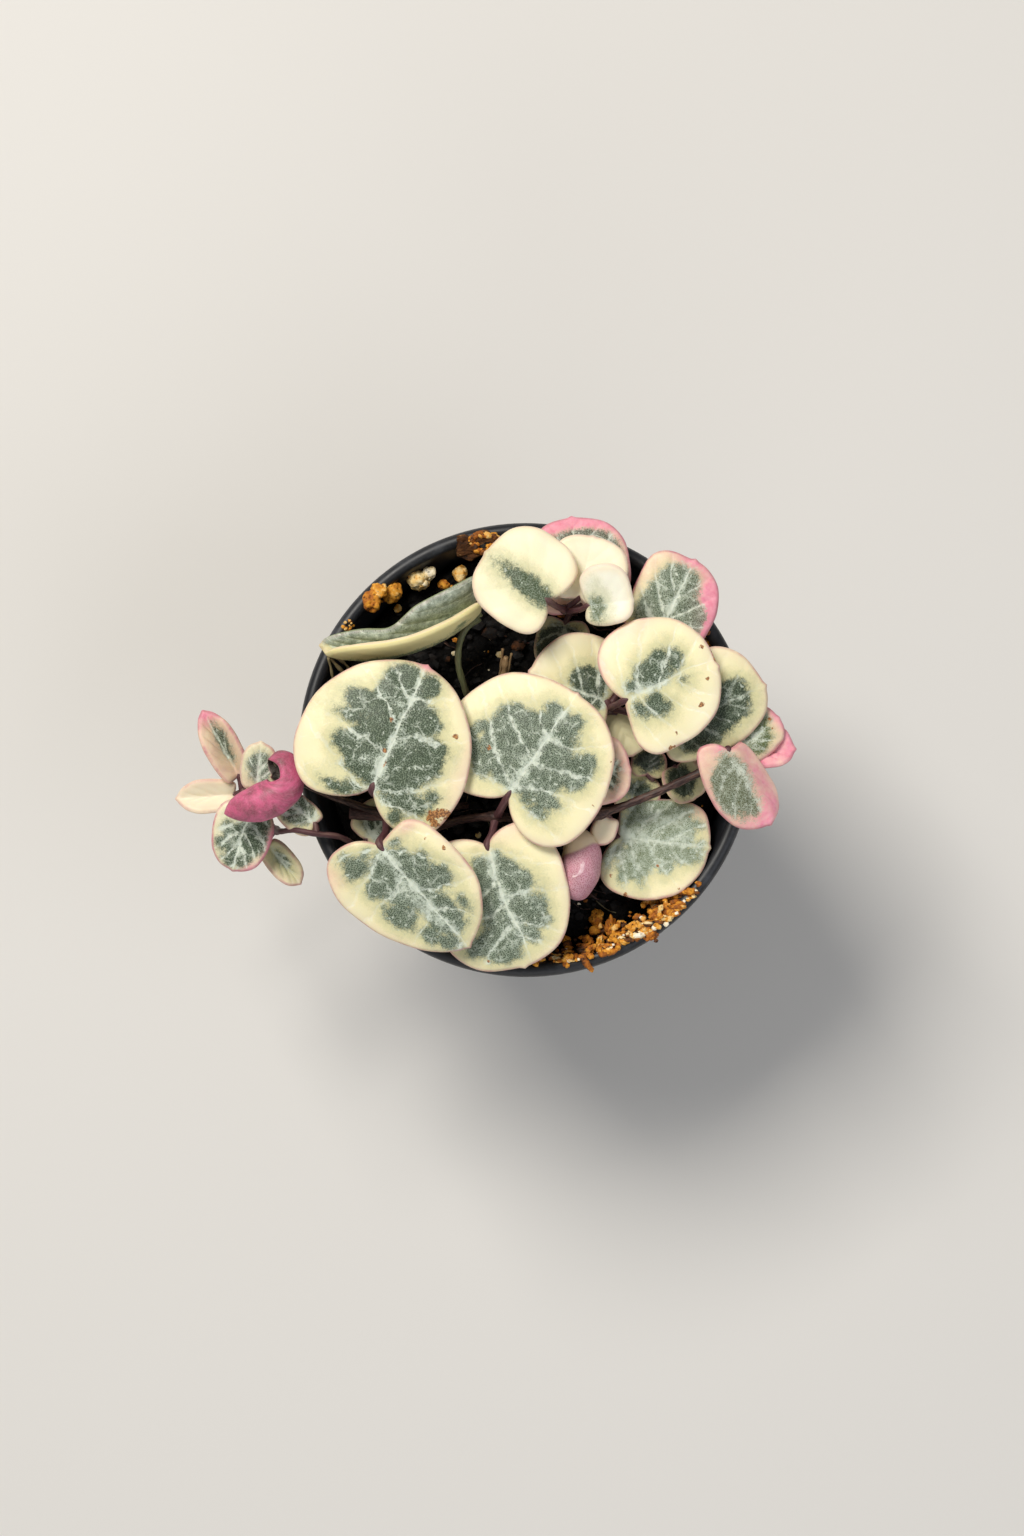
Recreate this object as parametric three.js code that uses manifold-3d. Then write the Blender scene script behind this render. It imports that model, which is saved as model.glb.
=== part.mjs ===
// A variegated string of hearts (Ceropegia woodii) in a small round nursery pot.
// Millimetres, +Z up. The origin is the centre of the pot's bottom, on the surface it stands on.
import * as THREE from 'three';
import { mergeVertices } from 'three/addons/utils/BufferGeometryUtils.js';
import Module from 'manifold-3d';

const wasm = await Module();
wasm.setup();

// ---- driving dimensions ----
const RIM_RADIUS = 28.5;      // outside of the lip
const POT_HEIGHT = 52;
const FOOT_RADIUS = 20;
const WALL = 1.0;             // pot wall
const BAND_FOOT = 45.4;       // underside of the band below the lip
const FLOOR_TOP = 2.2;
const GAP = 0.3;              // clearance between neighbouring pieces
const SOIL_LEVEL = 47.8;
const DRAIN_RADIUS = 1.8;
const DRAIN_CIRCLE = 13.2;
const POT_SEGMENTS = 42;
const LEAF_STEPS = 11;        // outline steps on each half of a blade
const SMALL_LEAF_STEPS = 8;
const BLADE = 1.25;           // blade thickness of a full-grown leaf

const rad = THREE.MathUtils.degToRad;

// ---- solids ----
function closed(geometry) {
  const g = geometry.index ? geometry.clone() : geometry;
  for (const name of ['normal', 'uv']) {
    if (g.attributes[name]) g.deleteAttribute(name);
  }
  const merged = mergeVertices(g, 1e-5);
  const p = merged.attributes.position.array;
  const index = [];
  const source = merged.index.array;
  for (let i = 0; i < source.length; i += 3) {
    const [a, b, c] = [source[i], source[i + 1], source[i + 2]];
    if (a !== b && b !== c && a !== c) index.push(a, b, c);
  }
  let volume = 0;
  for (let i = 0; i < index.length; i += 3) {
    const [a, b, c] = [index[i] * 3, index[i + 1] * 3, index[i + 2] * 3];
    volume += p[a] * (p[b + 1] * p[c + 2] - p[b + 2] * p[c + 1])
      - p[a + 1] * (p[b] * p[c + 2] - p[b + 2] * p[c])
      + p[a + 2] * (p[b] * p[c + 1] - p[b + 1] * p[c]);
  }
  if (volume < 0) {
    for (let i = 0; i < index.length; i += 3) {
      const keep = index[i];
      index[i] = index[i + 1];
      index[i + 1] = keep;
    }
  }
  return { positions: Float32Array.from(p), index: Uint32Array.from(index) };
}

function solid(geometry) {
  const { positions, index } = closed(geometry);
  return new wasm.Manifold(new wasm.Mesh({
    numProp: 3, vertProperties: positions, triVerts: index,
  }));
}

function join(list) {
  return list.reduce((sum, item) => sum.add(item));
}

function cut(body, list) {
  return list.reduce((rest, item) => rest.subtract(item), body);
}

// The outer shell of a body, without loose crumbs or closed pockets.
function mainShell(body) {
  const shells = body.decompose();
  return shells.reduce((best, item) => (item.volume() > best.volume() ? item : best));
}

function toGeometry(body) {
  const mesh = body.getMesh();
  const g = new THREE.BufferGeometry();
  g.setAttribute('position', new THREE.BufferAttribute(Float32Array.from(mesh.vertProperties), 3));
  g.setIndex(Array.from(mesh.triVerts));
  g.computeVertexNormals();
  return g;
}

function lathe(profile, segments = POT_SEGMENTS) {
  const g = new THREE.LatheGeometry(profile.map(([r, z]) => new THREE.Vector2(r, z)), segments);
  g.rotateX(Math.PI / 2);
  return g;
}

function tube(points, radius, steps = 10, sides = 8) {
  const curve = new THREE.CatmullRomCurve3(points.map((p) => new THREE.Vector3(...p)));
  const ring = [];
  for (let i = 0; i < sides; i += 1) {
    const a = (2 * Math.PI * i) / sides;
    ring.push(new THREE.Vector2(radius * Math.cos(a), radius * Math.sin(a)));
  }
  const shape = new THREE.Shape(ring);
  return solid(new THREE.ExtrudeGeometry(shape, {
    steps, extrudePath: curve, bevelEnabled: false, curveSegments: 1,
  }));
}

function ball(at, radius) {
  const g = new THREE.IcosahedronGeometry(radius * 1.08, 0);
  g.translate(...at);
  return solid(g);
}

// ---- leaf blades ----
// Local leaf plane: the notch at (0, 0), the midrib along +y to the tip, +x to the right.
// A half is { w, lobe, full, shoulder, fold, cup }: its greatest width, how far its lobe
// reaches behind the notch, where along the midrib it is widest, how full it stays
// towards the tip, the angle it rises from the midrib in degrees, and its curvature in 1/mm.
// A half may have a dent { depth, place along the midrib, spread } in its margin.
function bezier(a, b, c, d, steps) {
  const curve = new THREE.CubicBezierCurve(...[a, b, c, d].map((p) => new THREE.Vector2(...p)));
  return curve.getPoints(steps);
}

function halfOutline(leaf, half, steps) {
  const { L, tip } = leaf;
  const { w, lobe, full, shoulder } = half;
  const low = [0.55 * w, -lobe];
  const wide = [w, full * L];
  const k = 0.55;
  const points = [
    ...bezier([0, 0], [0.1 * w, -0.6 * lobe], [0.3 * w, -lobe], low, 20),
    ...bezier(low, [low[0] + k * 1.1 * (w - low[0]), -lobe],
      [w, wide[1] - k * (wide[1] + lobe)], wide, 20).slice(1),
    ...bezier(wide, [w, wide[1] + shoulder * (L - wide[1])],
      [(0.62 - 0.42 * tip) * w, L * (1 - 0.1 * tip)], [0, L], 30).slice(1),
  ];
  const along = [0];
  for (let i = 1; i < points.length; i += 1) {
    along.push(along[i - 1] + points[i].distanceTo(points[i - 1]));
  }
  const out = [];
  for (let i = 0; i <= steps; i += 1) {
    const s = (along[along.length - 1] * i) / steps;
    let j = along.findIndex((v) => v >= s - 1e-9);
    if (j < 1) j = 1;
    const t = (s - along[j - 1]) / (along[j] - along[j - 1]);
    out.push(points[j - 1].clone().lerp(points[j], Math.min(1, Math.max(0, t))));
  }
  if (half.dent) {
    const [depth, place, spread] = half.dent;
    for (const p of out) p.x -= depth * Math.exp(-(((p.y - place) / spread) ** 2)) * Math.min(1, (2 * p.x) / w);
  }
  return out;
}

function outline(leaf, steps) {
  const right = halfOutline(leaf, leaf.R, steps);
  const left = halfOutline(leaf, leaf.Lf, steps);
  const points = right.map((p) => [p.x, p.y, 1]);
  for (let i = steps - 1; i > 0; i -= 1) points.push([-left[i].x, left[i].y, -1]);
  return points;
}

// The section across the midrib: a bend of radius 1 mm at the midrib, then an arc.
function section(s, half) {
  const fold = rad(half.fold);
  const turn = Math.abs(fold);
  const sign = fold < 0 ? -1 : 1;
  const bend = turn;
  if (s <= bend) return [Math.sin(s), (1 - Math.cos(s)) * sign];
  const rest = s - bend;
  const x0 = Math.sin(turn);
  const z0 = (1 - Math.cos(turn)) * sign;
  if (Math.abs(half.cup) < 1e-6) return [x0 + rest * Math.cos(fold), z0 + rest * Math.sin(fold)];
  const a = fold + half.cup * rest;
  return [x0 + (Math.sin(a) - Math.sin(fold)) / half.cup, z0 + (Math.cos(fold) - Math.cos(a)) / half.cup];
}

// A point of the blade's middle surface in the pot's frame.
function onBlade(leaf, u, y, side) {
  const half = side > 0 ? leaf.R : leaf.Lf;
  const [sx, sz] = section(Math.abs(u), half);
  const edge = Math.min(1, Math.abs(u) / half.w);
  const wave = leaf.wave * edge * edge * Math.sin((2 * Math.PI * leaf.waves * y) / leaf.L + side * 1.3);
  let p = [side * sx + (leaf.sway * 4 * y * (leaf.L - y)) / (leaf.L * leaf.L), y, sz + wave];
  if (Math.abs(leaf.bow) > 1e-6) {
    const a = leaf.bow * y;
    p = [p[0], Math.sin(a) / leaf.bow + p[2] * Math.sin(a), (Math.cos(a) - 1) / leaf.bow + p[2] * Math.cos(a)];
  }
  const [cr, sr] = [Math.cos(rad(leaf.roll)), Math.sin(rad(leaf.roll))];
  p = [p[0] * cr + p[2] * sr, p[1], -p[0] * sr + p[2] * cr];
  const [cp, sp] = [Math.cos(rad(leaf.pitch)), Math.sin(rad(leaf.pitch))];
  p = [p[0], p[1] * cp - p[2] * sp, p[1] * sp + p[2] * cp];
  const [ch, sh] = [Math.cos(rad(leaf.head)), Math.sin(rad(leaf.head))];
  return new THREE.Vector3(
    p[0] * sh + p[1] * ch + leaf.at[0],
    -p[0] * ch + p[1] * sh + leaf.at[1],
    p[2] + leaf.at[2],
  );
}

function bladeNormal(leaf, u, y, side) {
  const e = 0.02;
  const inward = Math.abs(u) < e ? 1 : -1;
  const step = side * e * inward;
  const du = onBlade(leaf, u + step, y, side).sub(onBlade(leaf, u, y, side));
  if (step < 0) du.negate();
  const dy = onBlade(leaf, u, y + e, side).sub(onBlade(leaf, u, y - e, side));
  return du.cross(dy).normalize();
}

function leafSpec(spec) {
  const half = (h) => ({ w: 3, lobe: 0.4, full: 0.4, shoulder: 0.75, fold: 0, cup: 0, ...h });
  return {
    tip: 0, pitch: 0, roll: 0, bow: 0, sway: 0, wave: 0, waves: 1.5, thick: BLADE,
    ...spec, R: half(spec.R), Lf: half(spec.Lf),
  };
}

function blade(spec) {
  const leaf = leafSpec(spec);
  const steps = leaf.steps ?? (leaf.L > 7.6 ? LEAF_STEPS : SMALL_LEAF_STEPS);
  const rim = outline(leaf, steps);
  const centre = [0, 0.42 * leaf.L];
  const rings = leaf.rings ?? (leaf.L > 7.6 ? 3 : 2);
  const inner = [];
  for (let i = 1; i < rings; i += 1) inner.push((0.9 * i) / (rings - 1));
  const profile = [[0, -1]];
  for (const r of inner) profile.push([r, -Math.sqrt(1 - r ** 4) * 0.6 - 0.4]);
  profile.push([1, 0]);
  for (const r of [...inner].reverse()) profile.push([r, Math.sqrt(1 - r ** 4) * 0.6 + 0.4]);
  profile.push([0, 1]);
  const g = new THREE.LatheGeometry(profile.map(([r, h]) => new THREE.Vector2(r, h)), rim.length);
  const position = g.attributes.position;
  for (let i = 0; i <= rim.length; i += 1) {
    const [ox, oy, side] = rim[i % rim.length];
    for (let j = 0; j < profile.length; j += 1) {
      const [r, h] = profile[j];
      const u = r * ox;
      const y = centre[1] + r * (oy - centre[1]);
      const p = onBlade(leaf, u, y, side);
      if (r < 1) {
        const flat = r === 0 ? bladeNormal(leaf, 0.03, y, 1).add(bladeNormal(leaf, -0.03, y, -1)).normalize()
          : (Math.abs(u) < 1e-6 ? bladeNormal(leaf, 0.03, y, 1).add(bladeNormal(leaf, -0.03, y, -1)).normalize()
            : bladeNormal(leaf, u, y, side));
        p.addScaledVector(flat, (h * leaf.thick) / 2);
      }
      position.setXYZ(i * profile.length + j, p.x, p.y, p.z);
    }
  }
  return solid(g);
}

// A petiole runs from its joint on the stem to a point just inside the blade's notch.
function petiole(spec, from, radius, via = []) {
  const leaf = leafSpec(spec);
  const inside = onBlade(leaf, 0.001, 0.1 * leaf.L, 1);
  return tube([from, ...via, leaf.at, inside.toArray()], radius, 4 + via.length, 5);
}

function leafOn(spec, from, radius, via) {
  return [blade(spec), petiole(spec, from, radius, via)];
}

// ---- pot ----
const R = RIM_RADIUS;
const H = POT_HEIGHT;
const bandInner = R - 2.1;
const outerAt = (z) => FOOT_RADIUS + ((bandInner - FOOT_RADIUS) * z) / BAND_FOOT;

const potProfile = [
  [0, 0], [10, 0], [11, 1], [15.5, 1], [16.5, 0], [FOOT_RADIUS - 0.6, 0],
  [FOOT_RADIUS, 0.6], [outerAt(BAND_FOOT), BAND_FOOT], [R - 0.9, BAND_FOOT],
  [R - 0.6, BAND_FOOT + 0.4], [R - 0.1, H - 2.2], [R, H - 1.0],
  [R - 0.2, H - 0.4], [R - 0.7, H], [R - 1.3, H],
  [R - 1.75, H - 0.4], [R - 1.9, H - 1.1], [R - 2.3, H - 2.6],
  [outerAt(BAND_FOOT) - WALL, BAND_FOOT], [FOOT_RADIUS - 0.2, 3.4], [FOOT_RADIUS - 1.2, FLOOR_TOP],
  [0, FLOOR_TOP],
];

const drains = [];
for (let i = 0; i < 4; i += 1) {
  const g = new THREE.CylinderGeometry(DRAIN_RADIUS, DRAIN_RADIUS, 6, 12);
  g.rotateX(Math.PI / 2);
  const a = rad(45 + 90 * i);
  g.translate(DRAIN_CIRCLE * Math.cos(a), DRAIN_CIRCLE * Math.sin(a), 1.5);
  drains.push(solid(g));
}
const pot = cut(solid(lathe(potProfile)), drains);
const lipClearance = solid(lathe([
  [R + GAP, 40], [R + GAP, H - 0.7], [R - 0.4, H + GAP], [R - 1.6, H + GAP], [R - 1.9 - GAP, H - 0.5],
  [R - 2.3 - GAP, H - 2.6], [outerAt(BAND_FOOT) - WALL - GAP, BAND_FOOT], [outerAt(40) - WALL - GAP, 40],
  [R + GAP, 40],
]));

// ---- leafy stems ----
const half = (w, lobe, full, shoulder, fold = 0, cup = 0) => ({ w, lobe, full, shoulder, fold, cup });

// Main stem: comes out of the soil left of the middle and runs right, over the rim.
const mainStem = [
  [-11.8, -10.4, 44.3], [-11.8, -10.4, 47.5], [-11.0, -9.8, 50.2], [-8.0, -8.9, 53.0], [-3.6, -8.6, 54.5],
  [3.0, -9.3, 54.5], [9.2, -8.2, 55.0], [15.3, -6.0, 55.8], [22.1, -2.9, 56.8], [26.2, -0.9, 57.0],
];
const main = [
  tube(mainStem, 0.62, 16, 7),
  ball([-3.6, -8.6, 54.5], 1.15),
  ball([9.2, -8.2, 55.0], 0.95),
  ball([25.9, -1.0, 57.0], 1.0),
  ...leafOn({
    at: [-2.1, -6.0, 58.8], head: 56, L: 15.0, tip: 0, pitch: 6, roll: -5, bow: 0.008, wave: 0.25,
    Lf: half(11.7, 3.1, 0.28, 0.66, 0, -0.01), R: half(10.3, 3.4, 0.21, 0.64, 0, -0.01),
  }, [-3.5, -8.4, 54.8], 0.6, [[-3.2, -7.9, 56.8]]),
  ...leafOn({
    at: [-4.8, -12.3, 56.7], head: -73, L: 15.7, tip: 0.05, pitch: -2, roll: 3, bow: 0.008, wave: 0.3,
    Lf: half(8.3, 1.9, 0.36, 0.66, 0, -0.012), R: half(9.0, 2.0, 0.45, 0.72, 0, -0.012),
  }, [-3.8, -8.9, 54.4], 0.6, [[-4.2, -10.8, 55.7]]),
  ...leafOn({
    at: [8.1, -3.5, 56.3], head: 8, L: 4.9, thick: 1.0, pitch: 4, wave: 0.1,
    Lf: half(4.7, 0.6, 0.38, 0.72, 8, 0), R: half(3.9, 0.6, 0.2, 0.72, 4, 0),
  }, [8.6, -8.0, 55.1], 0.42, [[8.0, -5.6, 55.8]]),
  ...leafOn({
    at: [8.5, -11.4, 54.6], head: -108, L: 7.2, thick: 1.1, pitch: -2, roll: 4, bow: 0.02,
    Lf: half(3.2, 0.4, 0.42, 0.8, -45, -0.05), R: half(3.4, 0.4, 0.42, 0.8, -45, -0.05),
  }, [9.3, -8.4, 54.7], 0.42, [[9.1, -10.0, 54.7]]),
  ...leafOn({
    at: [9.4, -11.2, 54.3], head: 46, L: 3.8, thick: 1.5, pitch: 6,
    Lf: half(1.5, 0.2, 0.5, 0.85, 0, -0.08), R: half(1.5, 0.2, 0.5, 0.85, 0, -0.08),
  }, [9.2, -10.0, 54.4], 0.38),
  ...leafOn({
    at: [24.7, -0.6, 61.2], head: -60, L: 10.6, tip: 0.1, pitch: -5, roll: 3, bow: 0.01, wave: 0.2,
    Lf: half(3.9, 0.0, 0.6, 0.6, -48, 0), R: half(4.9, 1.9, 0.46, 0.72, 0, -0.02),
  }, [25.5, -1.1, 57.2], 0.5, [[25.0, -0.9, 59.2]]),
  ...leafOn({
    at: [27.3, 0.0, 56.2], head: 26, L: 5.6, tip: 0.3, thick: 1.0, pitch: -3, wave: 0.15,
    Lf: half(4.3, 0.6, 0.42, 0.78, 6, 0), R: half(3.0, 0.6, 0.4, 0.78, 0, 0),
  }, [26.0, -0.9, 56.9], 0.42),
  ...leafOn({
    at: [27.2, -1.4, 58.0], head: 8, L: 7.0, tip: 0.7, thick: 1.0, pitch: 2, roll: -8,
    Lf: half(3.6, 0.5, 0.5, 0.8, 38, 0.02), R: half(3.4, 0.5, 0.5, 0.8, 38, 0.02),
  }, [26.1, -0.9, 57.2], 0.45),
];

// Left stem: rises under the big left leaf, carries the old cut stub and goes over the rim.
const leftStem = [
  [-7.5, -6.9, 44.3], [-7.5, -6.9, 47.5], [-8.4, -7.1, 50.4], [-12.0, -7.9, 53.0], [-17.4, -8.1, 54.0],
  [-21.7, -6.9, 54.1], [-24.4, -5.9, 54.1], [-27.8, -4.4, 54.2], [-30.6, -3.5, 54.0], [-32.6, -3.2, 53.4],
];
const left = [
  tube(leftStem, 0.55, 16, 7),
  ball([-17.4, -8.2, 54.0], 1.2),
  ball([-32.5, -3.2, 53.4], 0.9),
  tube([[-17.2, -8.3, 53.6], [-19.4, -8.2, 53.1], [-21.9, -8.0, 52.7]], 0.85, 3, 9),
  ...leafOn({
    at: [-18.9, -5.3, 60.3], head: 66, L: 16.4, tip: 0.15, pitch: 4, roll: -2, bow: 0.01, wave: 0.3,
    Lf: half(11.7, 3.1, 0.24, 0.60, 0, -0.012), R: half(10.4, 3.6, 0.18, 0.56, 0, -0.012),
  }, [-17.5, -8.0, 54.4], 0.62, [[-17.7, -6.9, 57.6]]),
  ...leafOn({
    at: [-17.9, -12.3, 61.0], head: -49, L: 16.7, tip: 0.35, pitch: -8, roll: 13, bow: 0.004, wave: 0.3,
    Lf: half(6.9, 0.5, 0.42, 0.62, 0, -0.01), R: half(8.7, 2.9, 0.16, 0.45, 0, -0.01),
  }, [-17.4, -8.6, 54.2], 0.62, [[-17.3, -10.6, 57.8]]),
  ...leafOn({
    at: [-32.2, -2.9, 56.4], head: -42, L: 5.4, thick: 1.2, pitch: 2, rings: 4,
    Lf: half(3.8, 1.6, 0.5, 0.8, -32, -0.06), R: half(8.8, 0.6, 0.2, 0.55, -28, -0.04),
  }, [-32.5, -3.2, 53.6], 0.5),
  ...leafOn({
    at: [-34.6, -7.6, 50.6], head: -106, L: 7.9, tip: 0.1, thick: 1.1, pitch: -4, wave: 0.15,
    Lf: half(3.8, 0.4, 0.35, 0.72, 8, 0.0), R: half(4.0, 0.8, 0.27, 0.65, 4, 0.0),
  }, [-32.6, -3.3, 53.2], 0.42, [[-33.9, -5.6, 51.6]]),
  ...leafOn({
    at: [-34.2, -4.4, 52.4], head: 86, L: 5.6, tip: 0.4, thick: 1.0, pitch: 6,
    Lf: half(2.1, 0.4, 0.42, 0.8, 12, 0), R: half(2.1, 0.4, 0.42, 0.8, 12, 0),
  }, [-32.8, -3.6, 53.2], 0.4, [[-33.7, -4.4, 52.6]]),
];

// Thin trailing stem: over the rim at the lower left, then down outside the pot.
const trailStem = [
  [-20.6, -12.9, 44.3], [-20.6, -12.9, 47.5], [-21.5, -12.0, 50.4], [-23.4, -11.0, 53.2], [-26.2, -10.7, 54.1],
  [-28.8, -10.2, 53.7], [-30.6, -10.3, 51.4], [-31.6, -9.9, 48.4], [-33.6, -7.4, 44.6], [-36.2, -4.8, 42.4],
];
const trail = [
  tube(trailStem, 0.45, 16, 6),
  ball([-36.2, -4.8, 42.4], 0.8),
  ball([-31.4, -10.0, 49.2], 0.7),
  ...leafOn({
    at: [-20.0, -11.3, 49.7], head: 45, L: 5.6, tip: 0.2, thick: 1.0,
    Lf: half(3.6, 0.4, 0.42, 0.8, 0, 0), R: half(3.7, 0.4, 0.42, 0.8, 0, 0),
  }, [-20.8, -12.6, 48.9], 0.38),
  ...leafOn({
    at: [-26.3, -9.4, 53.7], head: 142, L: 5.8, tip: 0.4, thick: 0.9, pitch: -3,
    Lf: half(2.6, 0.4, 0.42, 0.8, 0, -0.02), R: half(1.9, 0.4, 0.42, 0.8, 0, -0.02),
  }, [-26.0, -10.6, 54.0], 0.38),
  ...leafOn({
    at: [-36.6, -2.9, 42.8], head: 119, L: 9.4, tip: 0.4, thick: 1.0, pitch: 8,
    Lf: half(2.9, 0.3, 0.45, 0.62, 42, 0), R: half(2.9, 0.3, 0.5, 0.62, 42, 0),
  }, [-36.2, -4.6, 42.5], 0.4),
  ...leafOn({
    at: [-37.2, -5.3, 42.0], head: 184, L: 7.4, tip: 0.4, thick: 1.0, pitch: 2,
    Lf: half(2.6, 0.3, 0.5, 0.62, 36, 0), R: half(2.6, 0.3, 0.5, 0.62, 36, 0),
  }, [-36.3, -5.0, 42.3], 0.4),
  ...leafOn({
    at: [-32.6, -12.0, 46.6], head: -49, L: 6.3, tip: 0.4, thick: 1.0, pitch: -6,
    Lf: half(2.1, 0.3, 0.38, 0.8, 30, 0), R: half(2.1, 0.3, 0.45, 0.8, 30, 0),
  }, [-31.4, -10.0, 49.2], 0.38, [[-32.2, -10.9, 47.7]]),
];

// Top stem: carries the pale leaves by the far rim.
const topStem = [
  [6.2, 17.4, 44.3], [6.2, 17.4, 47.5], [6.0, 17.3, 50.8], [5.2, 17.1, 54.2], [4.7, 17.0, 57.4],
];
const top = [
  tube(topStem, 0.5, 8, 7),
  ball([4.8, 17.0, 57.2], 1.0),
  ...leafOn({
    at: [2.5, 17.7, 62.2], head: 142, L: 9.8, tip: -0.1, pitch: -3, roll: 2, wave: 0.25,
    Lf: half(5.9, 1.7, 0.36, 0.75, 0, -0.015), R: half(7.1, 1.4, 0.30, 0.9, 0, -0.015),
  }, [4.6, 17.0, 57.6], 0.5, [[3.7, 17.1, 60.2]]),
  ...leafOn({
    at: [6.5, 18.3, 59.4], head: 77, L: 7.7, thick: 1.1, pitch: 4, wave: 0.15,
    Lf: half(4.5, 0.6, 0.4, 0.8, 4, 0), R: half(5.2, 0.8, 0.47, 0.8, 4, 0),
  }, [5.2, 17.2, 57.6], 0.42),
  ...leafOn({
    at: [7.7, 17.0, 62.2], head: 6, L: 5.5, thick: 1.1, pitch: 8, roll: 4,
    Lf: half(5.2, 0.8, 0.42, 0.82, 14, 0.05), R: half(2.8, 0.6, 0.4, 0.8, 8, 0.05),
  }, [5.3, 16.8, 57.4], 0.42, [[6.7, 16.7, 60.2]]),
  ...leafOn({
    at: [6.8, 17.7, 56.0], head: 96, L: 11.0, thick: 1.1, pitch: 1, bow: 0.012, wave: 0.25,
    Lf: half(6.0, 1.0, 0.45, 0.7, 0, -0.01), R: half(6.7, 1.0, 0.42, 0.68, 0, -0.01),
  }, [5.2, 17.2, 56.4], 0.42),
  ...leafOn({
    at: [4.9, 15.7, 52.4], head: -100, L: 6.2, thick: 1.0, pitch: -3,
    Lf: half(3.6, 0.6, 0.42, 0.8, 4, 0), R: half(3.4, 0.6, 0.42, 0.8, 4, 0),
  }, [5.6, 17.1, 52.4], 0.4),
];

// Right stem: carries the spreading leaves at the right.
const rightStem = [
  [9.6, 1.9, 44.3], [9.6, 1.9, 47.5], [9.6, 2.6, 50.6], [9.9, 4.0, 53.6], [10.3, 4.9, 56.6],
];
const right = [
  tube(rightStem, 0.5, 9, 7),
  ball([10.3, 4.9, 56.4], 1.0),
  ...leafOn({
    at: [12.1, 5.4, 61.8], head: 20, L: 12.1, tip: 0, pitch: 3, roll: 2, bow: 0.008, wave: 0.25,
    Lf: half(8.8, 1.7, 0.30, 0.70, 0, -0.012), R: half(7.7, 0.5, 0.18, 0.62, 0, -0.012),
  }, [10.5, 4.9, 56.8], 0.5, [[11.1, 5.0, 59.4]]),
  ...leafOn({
    at: [10.0, 5.5, 57.0], head: 158, L: 10.3, tip: 0.1, pitch: 0, roll: 0, wave: 0.2,
    Lf: half(5.6, 0.8, 0.4, 0.7, 0, -0.01), R: half(7.3, 0.8, 0.30, 0.72, 0, -0.01),
  }, [10.3, 4.9, 56.6], 0.5),
  ...leafOn({
    at: [18.6, 2.6, 58.8], head: 24, L: 11.8, tip: 0, pitch: 1, roll: 5, wave: 0.25,
    Lf: half(7.2, 1.0, 0.5, 0.68, 0, -0.01), R: half(5.4, 2.6, 0.30, 0.60, 0, -0.01),
  }, [10.8, 4.8, 56.6], 0.5, [[13.6, 3.8, 57.4], [17.2, 2.4, 58.4]]),
  ...leafOn({
    at: [15.6, 12.6, 57.4], head: 63, L: 11.8, pitch: -2, wave: 0.3,
    Lf: half(5.4, 0.3, 0.66, 0.95, 0, -0.02), R: half(5.5, 0.8, 0.48, 0.6, 0, -0.02),
  }, [10.6, 5.4, 56.8], 0.45, [[12.6, 8.6, 57.4], [14.9, 11.6, 57.4]]),
  ...leafOn({
    at: [11.2, 4.2, 54.4], head: -68, L: 5.6, thick: 1.0, pitch: -2,
    Lf: half(3.0, 0.5, 0.42, 0.8, 0, -0.01), R: half(2.4, 0.5, 0.42, 0.8, 0, -0.01),
  }, [10.2, 4.6, 54.8], 0.4),
];

// Short green stem with the cupped leaf that lies edge-on along the rim.
const edgeStem = [
  [-7.2, 6.4, 44.3], [-7.2, 6.4, 47.5], [-7.7, 7.8, 50.6], [-8.5, 11.0, 52.8], [-7.9, 14.3, 53.6],
  [-6.0, 16.4, 53.9],
];
const edge = [
  tube(edgeStem, 0.62, 12, 7),
  ball([-6.0, 16.4, 53.9], 0.9),
  ...leafOn({
    at: [-6.6, 17.6, 54.2], head: 194.8, L: 19.7, tip: 0.24, thick: 1.3, sway: -2.4, pitch: 4, roll: 5, rings: 4,
    steps: 14, Lf: half(5.8, 1.0, 0.58, 0.72, 100, 0),
    R: { ...half(5.7, 1.6, 0.36, 0.05, 52, 0.028), dent: [1.9, 10.7, 2.6] },
  }, [-5.9, 16.3, 53.9], 0.55),
];

// Short low stem: its big leaf lies just above the soil.
const lowStem = [
  [8.6, -10.6, 44.3], [8.6, -10.6, 47.5], [9.2, -10.7, 49.4], [10.6, -10.8, 50.4],
];
const low = [
  tube(lowStem, 0.42, 7, 6),
  ball([10.4, -10.8, 50.3], 0.75),
  ...leafOn({
    at: [11.5, -11.0, 51.0], head: -7, L: 11.5, thick: 1.2, pitch: 3, roll: -6, wave: 0.2,
    Lf: half(5.6, 0.2, 0.62, 0.85, 0, -0.01), R: half(7.5, 1.8, 0.27, 0.6, 0, -0.004),
  }, [10.4, -10.8, 50.3], 0.42),
  ...leafOn({
    at: [13.0, -7.6, 52.2], head: 75, L: 4.8, thick: 0.9, pitch: -4,
    Lf: half(2.7, 0.4, 0.42, 0.8, 6, 0), R: half(3.5, 0.4, 0.42, 0.8, 6, 0),
  }, [10.4, -10.8, 50.4], 0.38, [[11.6, -9.0, 51.8]]),
  ...leafOn({
    at: [18.7, -3.6, 51.6], head: -62, L: 4.6, thick: 0.9, pitch: -3,
    Lf: half(3.1, 0.4, 0.42, 0.8, 26, 0.06), R: half(2.9, 0.4, 0.42, 0.8, 26, 0.06),
  }, [13.2, -7.2, 52.0], 0.38, [[16.2, -4.6, 51.8]]),
  ...leafOn({
    at: [15.4, -4.6, 52.4], head: 84, L: 4.4, thick: 0.9, pitch: 0,
    Lf: half(2.4, 0.4, 0.42, 0.8, 4, 0), R: half(2.4, 0.4, 0.42, 0.8, 4, 0),
  }, [16.0, -4.7, 51.8], 0.38),
];

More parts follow.
